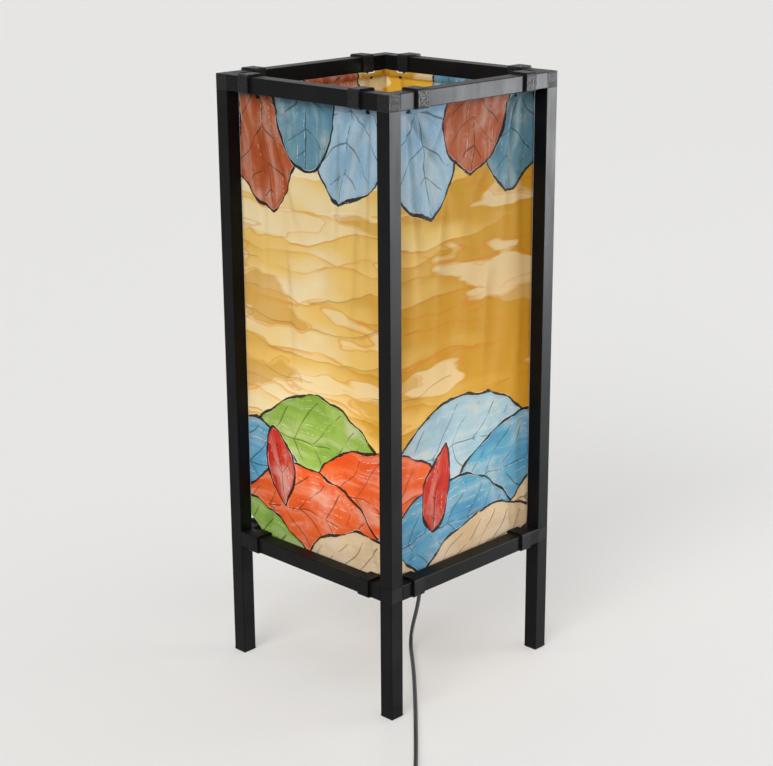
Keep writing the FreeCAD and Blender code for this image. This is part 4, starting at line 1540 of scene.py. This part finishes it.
@dataclass(frozen=True)
class Crease:
    """One soft crease in a side, from a start to an end in metres along the side and up."""

    start: tuple[float, float]
    end: tuple[float, float]
    half_width: float
    depth: float
    width_shares: tuple[float, float] = (0.55, 0.75)
    fade_power: float = 0.8
    first_share: float = 0.35
    first_rise: float = 6.0
    bank_share: float = 0.55

    def press(self, x: np.ndarray, z: np.ndarray) -> np.ndarray:
        """Presses the crease into the cloth, deepest near its start and steeper on one bank.

        Args:
            x: places along the side.
            z: heights.

        Returns:
            How far the crease moves each place inwards.
        """
        start, run = np.array(self.start), np.array(self.end) - np.array(self.start)
        length = float(np.linalg.norm(run))
        along = ((x - start[0]) * run[0] + (z - start[1]) * run[1]) / length**2
        held = np.clip(along, 0.0, 1.0)
        off = np.hypot(x - start[0] - held * run[0], z - start[1] - held * run[1])
        width = self.half_width * (self.width_shares[0] + self.width_shares[1] * held)
        begun = np.clip(self.first_share + along * self.first_rise, self.first_share, 1.0)
        fade = (1 - held) ** self.fade_power * begun
        across = (x - start[0]) * run[1] - (z - start[1]) * run[0]
        bank = 1 + self.bank_share * np.tanh(across / length / width)
        return self.depth * fade * bank * np.exp(-((off / width) ** 2))


@dataclass(frozen=True)
class Ripple:
    """An upright wave in the cloth that wanders as it rises, in radians per metre."""

    per_metre: float
    height: float
    wander: float
    wander_per_metre: float
    wander_seed: float
    seed: float

    def at(self, x: np.ndarray, z: np.ndarray, side_seed: float) -> np.ndarray:
        """Follows the wave.

        Args:
            x: places along the side.
            z: heights.
            side_seed: what sets one side's waves apart from another's.

        Returns:
            The wave's share of a ripple at each place.
        """
        wander = self.wander * np.sin(z * self.wander_per_metre + side_seed * self.wander_seed)
        return self.height * np.sin(x * self.per_metre + wander + side_seed * self.seed)


@dataclass
class Sleeve:
    """The printed cloth sleeve, one sheet with a rolled hem round the rods at its top and bottom."""

    finish: PaintedCloth = PaintedCloth()
    column_step: float = 0.0026
    row_step: float = 0.0026
    half: float = 0.129
    corner_reach: float = 0.1302
    low_corner_reach: float = 0.1296
    low_corner_height: float = 0.183
    corner_round: float = 0.006
    upper_rod: float = 0.7582
    lower_rod: float = 0.167
    roll_radius: float = 0.0034
    roll_points: int = 10
    roll_step: float = 0.0018
    roll_sweep: float = 292.0
    roll_end_share: float = 0.08
    roll_taper: float = 1.5
    upper_hem_half: float = 0.1165
    lower_hem_half: float = 0.1135
    upper_clip: float = 0.096
    lower_clip: float = 0.103
    pocket_half: float = 0.0095
    pocket_rise: float = 0.0022
    pocket_run: float = 0.002
    notch_half: float = 0.0021
    slit_low: float = 0.0017
    slit_high: float = 0.0041
    flap_depth: float = 0.0034
    lower_flap_set_in: float = 0.003
    lift_height: float = 0.06
    lift_power: float = 1.15
    ripple: float = 0.0007
    ripple_offset: float = 0.8
    middle_ripple: Ripple = Ripple(155.0, 0.7, 6.0, 9.0, 1.0, 3.0)
    middle_spread: float = 0.4
    hanging_ripple: Ripple = Ripple(88.0, 0.8, 2.4, 6.3, 2.0, 1.0)
    side_seed: float = 1.7
    slack: float = 2.2
    deepest: float = 0.0060
    # Crease depth that gives the full painted shade in the creases.
    crease_shade_scale: float = 0.0042
    still_end: float = 0.012
    still_foot_share: float = 0.03
    still_head_share: float = 0.015
    probe_from: float = 0.2
    probe_reach: float = 0.12
    probe_side_margin: float = 0.0006
    probe_rod_margin: float = 0.0003
    unhit_set_in: float = 0.003
    print_side: float = 0.258
    flat_height: float = 0.640
    left_creases: tuple[Crease, ...] = (
        Crease((-0.096, 0.757), (-0.010, 0.560), 0.0070, 0.0026),
        Crease((-0.096, 0.757), (0.040, 0.690), 0.0060, 0.0016),
        Crease((-0.096, 0.757), (-0.080, 0.480), 0.0060, 0.0018),
        Crease((0.096, 0.757), (0.030, 0.640), 0.0065, 0.0022),
        Crease((0.045, 0.735), (0.038, 0.560), 0.0050, 0.0026),
        Crease((0.096, 0.757), (0.088, 0.500), 0.0055, 0.0022),
        Crease((0.096, 0.757), (-0.030, 0.700), 0.0050, 0.0012),
        Crease((0.070, 0.640), (0.062, 0.400), 0.0080, 0.0016),
        Crease((-0.050, 0.560), (-0.036, 0.330), 0.0090, 0.0014),
        Crease((-0.103, 0.175), (-0.070, 0.300), 0.0070, 0.0014),
        Crease((0.103, 0.175), (0.060, 0.290), 0.0070, 0.0014),
        Crease((0.010, 0.168), (0.000, 0.260), 0.0060, 0.0010),
    )
    right_creases: tuple[Crease, ...] = (
        Crease((-0.096, 0.757), (-0.010, 0.640), 0.0060, 0.0024),
        Crease((-0.018, 0.750), (-0.082, 0.668), 0.0050, 0.0022),
        Crease((-0.096, 0.757), (-0.070, 0.500), 0.0060, 0.0020),
        Crease((-0.096, 0.757), (0.050, 0.715), 0.0050, 0.0013),
        Crease((0.096, 0.757), (0.000, 0.590), 0.0075, 0.0026),
        Crease((0.096, 0.757), (0.075, 0.520), 0.0060, 0.0020),
        Crease((0.096, 0.757), (0.020, 0.700), 0.0050, 0.0016),
        Crease((-0.030, 0.640), (-0.044, 0.420), 0.0085, 0.0016),
        Crease((0.052, 0.540), (0.040, 0.330), 0.0090, 0.0014),
        Crease((-0.103, 0.175), (-0.050, 0.280), 0.0070, 0.0014),
        Crease((0.103, 0.175), (0.076, 0.310), 0.0070, 0.0014),
    )
    # How high and how far along the cloth's foot rises at the front, right, rear and left corners.
    lifts: tuple[tuple[float, float], ...] = ((0.014, 0.018), (0.015, 0.024), (0.014, 0.018), (0.030, 0.030))

    def turn(self, side: Side) -> Matrix:
        """Returns the turn that brings the side that faces -Y round to another."""
        return Matrix.Rotation(math.tau / len(Side) * side.value, 3, "Z")

    def columns(self) -> np.ndarray:
        """Sets out the mesh's columns along one side.

        Returns:
            Their places, with one at each hem's end and at each edge of the clips' pockets and slits.
        """
        marks = {-self.half, self.half}
        for end in (-1, 1):
            marks |= {end * self.upper_hem_half, end * self.lower_hem_half}
            for middle in (self.upper_clip, self.lower_clip):
                marks |= {end * middle - self.notch_half, end * middle + self.notch_half}
            for reach in (self.pocket_half, self.pocket_half + self.pocket_run):
                marks |= {end * self.upper_clip - reach, end * self.upper_clip + reach}
        ordered = sorted(marks)
        places = [np.array(ordered[:1])]
        for a, b in zip(ordered, ordered[1:]):
            count = max(1, math.ceil((b - a) / self.column_step))
            places.append(np.linspace(a, b, count + 1)[1:])
        return np.concatenate(places)

    def rows(self) -> np.ndarray:
        """Sets out the rows between the two rods.

        Returns:
            Their heights, with one at each edge of the slits.
        """
        low = [self.lower_rod + rise for rise in (0.0, self.slit_low, self.slit_high)]
        high = [self.upper_rod - drop for drop in (self.slit_high, self.slit_low, 0.0)]
        count = math.ceil((high[0] - low[-1]) / self.row_step)
        return np.concatenate([low, np.linspace(low[-1], high[0], count + 1)[1:-1], high])

    def lift(self, side: Side, x: np.ndarray, z: np.ndarray) -> np.ndarray:
        """Raises the cloth's lower edge towards the corners.

        Args:
            side: the side of the sleeve.
            x: places along the side.
            z: heights.

        Returns:
            The raised heights.
        """
        near = self.half - np.abs(x)
        here, there = self.lifts[side.value], self.lifts[(side.value + 1) % len(self.lifts)]
        high, run = (np.where(x < 0, a, b) for a, b in zip(here, there))
        rise = high * np.clip(1 - near / run, 0, 1) ** self.lift_power
        return z + rise * np.clip(1 - (z - self.lower_rod) / self.lift_height, 0, 1)

    def pressed(self, side: Side, x: np.ndarray, z: np.ndarray) -> np.ndarray:
        """Presses a side's creases into it.

        Args:
            side: the side of the sleeve.
            x: places along the side.
            z: heights.

        Returns:
            How far the creases move each place inwards.
        """
        creases = self.right_creases if side in (Side.FRONT_RIGHT, Side.BACK_LEFT) else self.left_creases
        flip = -1 if side in (Side.BACK_LEFT, Side.BACK_RIGHT) else 1
        return sum(crease.press(flip * x, z) for crease in creases)

    def wrinkles(self, side: Side, x: np.ndarray, z: np.ndarray, pressed: np.ndarray) -> np.ndarray:
        """Adds small ripples to the creases and quiets both near the rods and corners.

        Args:
            side: the side of the sleeve.
            x: places along the side.
            z: heights.
            pressed: how far the creases move each place inwards.

        Returns:
            How far each place moves inwards.
        """
        up = (z - self.lower_rod) / (self.upper_rod - self.lower_rod)
        seed = side.value * self.side_seed
        middle = self.middle_ripple.at(x, z, seed) * np.exp(-(((up - 0.5) / self.middle_spread) ** 2))
        hanging = self.hanging_ripple.at(x, z, seed)
        moved = self.ripple * (middle + hanging + self.ripple_offset) + pressed
        moved = self.deepest * np.tanh(self.slack * moved / self.deepest)
        loose = np.clip((self.half - np.abs(x)) / self.still_end, 0, 1)
        loose = loose * np.clip(up / self.still_foot_share, 0, 1)
        return moved * loose * np.clip((1 - up) / self.still_head_share, 0, 1)

    def packed_depth(self, side: Side, x: np.ndarray, z: np.ndarray) -> np.ndarray:
        """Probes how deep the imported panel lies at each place.

        Args:
            side: the side of the sleeve.
            x: places along the side.
            z: heights.

        Returns:
            The distance of each place from the lamp's middle plane.
        """
        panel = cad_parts["shade_panel_" + side.name.lower()].data
        corners = [v.co for v in panel.vertices]
        tree = BVHTree.FromPolygons(corners, [tuple(p.vertices) for p in panel.polygons])
        turn = self.turn(side)
        away = turn @ Vector((0, 1, 0))
        depth = np.full(z.shape, self.half - self.unhit_set_in)
        widest = self.half - self.probe_side_margin
        lowest, highest = self.lower_rod + self.probe_rod_margin, self.upper_rod - self.probe_rod_margin
        for i, j in np.ndindex(z.shape):
            at = max(-widest, min(widest, float(x[i, 0])))
            height = min(max(float(z[i, j]), lowest), highest)
            hit = tree.ray_cast(turn @ Vector((at, -self.probe_from, height)), away, self.probe_reach)[0]
            if hit is not None:
                depth[i, j] = -(turn.inverted() @ hit).y
            elif j:
                depth[i, j] = depth[i, j - 1]
        return depth

    def depths(self, side: Side, x: np.ndarray, z: np.ndarray, pressed: np.ndarray) -> np.ndarray:
        """Works out how deep the cloth lies, drawn out to the corners.

        Args:
            side: the side of the sleeve.
            x: places along the side.
            z: heights.
            pressed: how far the creases move each place inwards.

        Returns:
            The cloth's distance from the middle plane at each place.
        """
        depth = self.packed_depth(side, x, z) - self.wrinkles(side, x, z, pressed)
        reach = np.where(z > self.low_corner_height, self.corner_reach, self.low_corner_reach)
        share = np.exp(-(((self.half - np.abs(x)) / self.corner_round) ** 2))
        return depth + (reach - depth) * share

    def roll(self, x: float, rod: float, upper: bool, depth: float) -> list[tuple[float, float]]:
        """Wraps the hem round a rod.

        Args:
            x: the place along the side.
            rod: the rod's height.
            upper: whether it is the upper hem.
            depth: the cloth's distance from the middle where the hem starts.

        Returns:
            The distance from the middle and the height of the roll's points, from the outside.
        """
        end = self.upper_hem_half if upper else self.lower_hem_half
        past = max(0.0, abs(x) - end) / (self.half - end)
        thick = self.roll_radius * max(self.roll_end_share, 1 - self.roll_taper * past)
        tall = self.roll_radius if upper else thick
        sign = 1 if upper else -1
        from_pocket = (abs(abs(x) - self.upper_clip) - self.pocket_half) / self.pocket_run
        rise = self.pocket_rise * min(1.0, max(0.0, from_pocket)) if upper else 0.0
        points = []
        for i in range(1, self.roll_points + 1):
            angle = math.radians(self.roll_sweep) * i / self.roll_points
            height = tall * math.sin(angle)
            if height > 0:
                height *= 1 + rise / tall
            points.append((depth - thick + thick * math.cos(angle), rod + sign * height))
        return points

    def open_at(self, spot: np.ndarray, upper: bool) -> bool:
        """Tells whether a face lies in the slit that a clip's hook passes through.

        Args:
            spot: the face's place along the side, its distance from the middle plane and its height.
            upper: whether it is in the sleeve's upper half.

        Returns:
            Whether the cloth is cut away there.
        """
        clip, half = self.lower_clip, self.half - self.lower_flap_set_in
        if upper:
            clip, half = self.upper_clip, self.half
        if abs(abs(spot[0]) - clip) >= self.notch_half:
            return False
        past = self.upper_rod - spot[2] if upper else spot[2] - self.lower_rod
        low = 0.0 if spot[1] < half - self.flap_depth else self.slit_low
        return low < past < self.slit_high

    def strip(self, column: float, heights: np.ndarray, depths: np.ndarray) -> list[Point]:
        """Runs up one column of the cloth, hem to hem.

        Args:
            column: the place along the side.
            heights: the rows' heights.
            depths: the rows' distances from the middle plane.

        Returns:
            The distance from the middle, the height and the height on the flat cloth of each point.
        """
        low = self.roll(column, float(heights[0]), False, float(depths[0]))[::-1]
        high = self.roll(column, self.upper_rod, True, float(depths[-1]))
        points = [(d, h, heights[0] - self.roll_step * (len(low) - i)) for i, (d, h) in enumerate(low)]
        points += [(float(d), float(h), float(h)) for d, h in zip(depths, heights)]
        points += [(d, h, heights[-1] + self.roll_step * (i + 1)) for i, (d, h) in enumerate(high)]
        return points

    def faces(self, tall: int, spots: np.ndarray) -> list[tuple[int, ...]]:
        """Joins the columns all round the sleeve and cuts the slits.

        Args:
            tall: how many points a column has.
            spots: each point's place along its side, distance from the middle plane and height.

        Returns:
            The mesh's faces.
        """
        wide = len(spots) // tall
        faces = []
        for column in range(wide):
            for k in range(tall - 1):
                a, b = column * tall + k, ((column + 1) % wide) * tall + k
                face = (a, b, b + 1, a + 1)
                if not self.open_at(spots[list(face)].mean(axis=0), k > tall / 2):
                    faces.append(face)
        return faces

    def build(self) -> bpy.types.Object:
        """Builds the sleeve's mesh.

        Returns:
            The sleeve's object.
        """
        columns, rows = self.columns(), self.rows()
        verts: list[Point] = []
        flat: list[Point] = []
        crease_shading: list[float] = []
        spots: list[Point] = []
        rolled = [0.0] * self.roll_points
        for side in Side:
            x = np.repeat(columns[:, None], len(rows), axis=1)
            z = self.lift(side, x, np.repeat(rows[None, :], len(columns), axis=0))
            pressed = self.pressed(side, x, z)
            depth = self.depths(side, x, z, pressed)
            turn = self.turn(side)
            for i, column in enumerate(columns[:-1]):
                round_it = (side.value * 2 + 1) * self.half + float(column)
                # Each point's crease depth, which the cloth's finish turns into painted shade.
                crease_shading += rolled + list(pressed[i] / self.crease_shade_scale) + rolled
                for d, h, up in self.strip(float(column), z[i], depth[i]):
                    along = column if i else -d
                    verts.append(tuple(turn @ Vector((along, -d, h))))
                    flat.append((round_it, up, 0.0))
                    spots.append((float(column), d, h))
        mesh = bpy.data.meshes.new("printed_sleeve")
        mesh.from_pydata(verts, [], self.faces(len(rows) + 2 * self.roll_points, np.array(spots)))
        mesh.polygons.foreach_set("use_smooth", [True] * len(mesh.polygons))
        self.print_on(mesh, np.array(flat))
        self.store(mesh, "painted_crease_shade", "FLOAT", "value", np.array(crease_shading))
        mesh.materials.append(self.finish.make())
        return new_object("printed_sleeve", mesh)

    def store(self, mesh: bpy.types.Mesh, name: str, kind: str, key: str, values: np.ndarray) -> None:
        """Stores values on a mesh's points.

        Args:
            mesh: the mesh.
            name: the name that the finish reads them by.
            kind: the kind of value.
            key: what a point of that kind calls its value.
            values: one row for each point.
        """
        stored = mesh.attributes.new(name, kind, "POINT")
        stored.data.foreach_set(key, values.astype(np.float32).ravel())

    def print_on(self, mesh: bpy.types.Mesh, flat: np.ndarray) -> None:
        """Stores the print on the mesh.

        Args:
            mesh: the sleeve's mesh.
            flat: each point's place on the flat cloth.
        """
        self.store(mesh, "flat_place", "FLOAT_VECTOR", "vector", flat)
        painted = SleevePrint(self.print_side).paint(flat[:, 0], flat[:, 1])
        for number, (measured, tint) in enumerate(painted):
            self.store(mesh, f"leaf_{number}", "FLOAT_VECTOR", "vector", measured)
            self.store(mesh, f"tint_{number}", "FLOAT_COLOR", "color", tint)

    def make(self) -> None:
        """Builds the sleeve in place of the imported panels."""
        cloth = self.build()
        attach(cloth, Body.LAMP.value)
        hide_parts(*["shade_panel_" + side.name.lower() for side in Side])
        LOG.info("sleeve of %d faces", len(cloth.data.polygons))


@dataclass
class TubeFrame:
    """The posts, legs, rails and their plastic connectors, foot plugs and clips."""

    coat: PowderCoat = PowderCoat()
    upper_plastic: GrainedPlastic = GrainedPlastic()
    # A duller, less glossy copy of the same plastic for the lower connectors, foot plugs and clips, which
    # stands in for shade near the floor.
    shaded_lower_plastic: GrainedPlastic = GrainedPlastic(
        "shaded_black_plastic", polished=0.38, matt=0.46, specular=0.09
    )

    def at_corners(self, *kinds: str) -> list[str]:
        """Returns the nodes of each kind at the four corners."""
        return [kind + "_" + corner.value for kind in kinds for corner in Corner]

    def on_sides(self, *kinds: str) -> list[str]:
        """Returns the nodes of each kind on the four sides."""
        return [kind + "_" + side.name.lower() for kind in kinds for side in Side]

    def make(self) -> None:
        """Dresses the frame."""
        dress(self.at_corners("post", "leg") + self.on_sides("top_rail", "lower_rail"), self.coat.make())
        dress(self.at_corners("top_connector") + ["top_rail_clips"], self.upper_plastic.make())
        lower = self.at_corners("lower_connector", "foot_plug")
        dress(lower + ["lower_rail_clips"], self.shaded_lower_plastic.make())


@dataclass
class LightParts:
    """The cross bar, lampholder, bulb and hem rods."""

    bar: PowderCoat = PowderCoat("bar_powder_coat")
    zinc: Metal = Metal("zinc_plate", (0.55, 0.55, 0.56), (0.38, 0.38, 0.39), 0.34)
    wire: Metal = Metal("drawn_wire", (0.50, 0.50, 0.51), (0.34, 0.34, 0.35), 0.3, (2000.0, 2000.0, 2000.0))
    holder: SmoothPlastic = SmoothPlastic("holder_black", (0.022, 0.022, 0.023), 0.32)
    ceramic: SmoothPlastic = SmoothPlastic("white_ceramic", (0.80, 0.79, 0.75), 0.45)
    brass: Metal = Metal("contact_brass", (0.72, 0.52, 0.24), (0.5, 0.34, 0.14), 0.28)
    cap: Metal = Metal("bulb_cap_metal", (0.72, 0.72, 0.73), (0.5, 0.5, 0.5), 0.26)
    body: SmoothPlastic = SmoothPlastic("bulb_white", (0.86, 0.85, 0.82), 0.3, 0.3)
    dome: LitOpal = LitOpal()
    bushing: SmoothPlastic = SmoothPlastic("bushing_black", (0.02, 0.02, 0.021), 0.5)

    def make(self) -> None:
        """Dresses the parts round the bulb."""
        dress(["cross_bar"], self.bar.make())
        dress(["bar_screws", "holder_nipple", "nipple_nut"], self.zinc.make())
        dress(["upper_hem_rods", "lower_hem_rods"], self.wire.make())
        dress(["holder_cap", "holder_shell"], self.holder.make())
        dress(["holder_insert"], self.ceramic.make())
        dress(["contact_sleeve"], self.brass.make())
        dress(["bulb_cap"], self.cap.make())
        dress(["bulb_body"], self.body.make())
        dress(["bulb_dome"], self.dome.make())
        dress(["cord_bushing", "inner_lead"], self.bushing.make())


@dataclass
class CordFittings:
    """The in-line switch, the coil's tie and the plug."""

    switch: SmoothPlastic = SmoothPlastic("switch_black", (0.022, 0.022, 0.024), 0.3, 0.2)
    rocker: SmoothPlastic = SmoothPlastic("rocker_black", (0.045, 0.045, 0.047), 0.26, 0.3)
    tape: WovenTape = WovenTape()
    plug: SmoothPlastic = SmoothPlastic("plug_black", (0.022, 0.022, 0.023), 0.45)
    pins: Metal = Metal("nickel_pins", (0.74, 0.72, 0.68), (0.55, 0.54, 0.5), 0.2)

    def make(self) -> None:
        """Dresses the pieces on the cord."""
        dress(["switch_lower", "switch_upper"], self.switch.make())
        dress(["switch_rocker"], self.rocker.make())
        dress(["coil_tie"], self.tape.make())
        dress(["plug_body"], self.plug.make())
        dress(["plug_pins"], self.pins.make())


def main() -> None:
    """Builds the camera and cord first, then the lamp, then the room around it."""
    logging.basicConfig(level=logging.INFO, format="%(name)s: %(message)s")
    bpy.context.scene.view_settings.view_transform = "Standard"
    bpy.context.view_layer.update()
    assemblies = (PhotoCamera(), FreeCord(), TubeFrame(), Sleeve(), LightParts(), CordFittings(), Studio())
    for assembly in assemblies:
        assembly.make()
        LOG.info("%s is done", type(assembly).__name__)


if __name__ == "__main__":
    main()
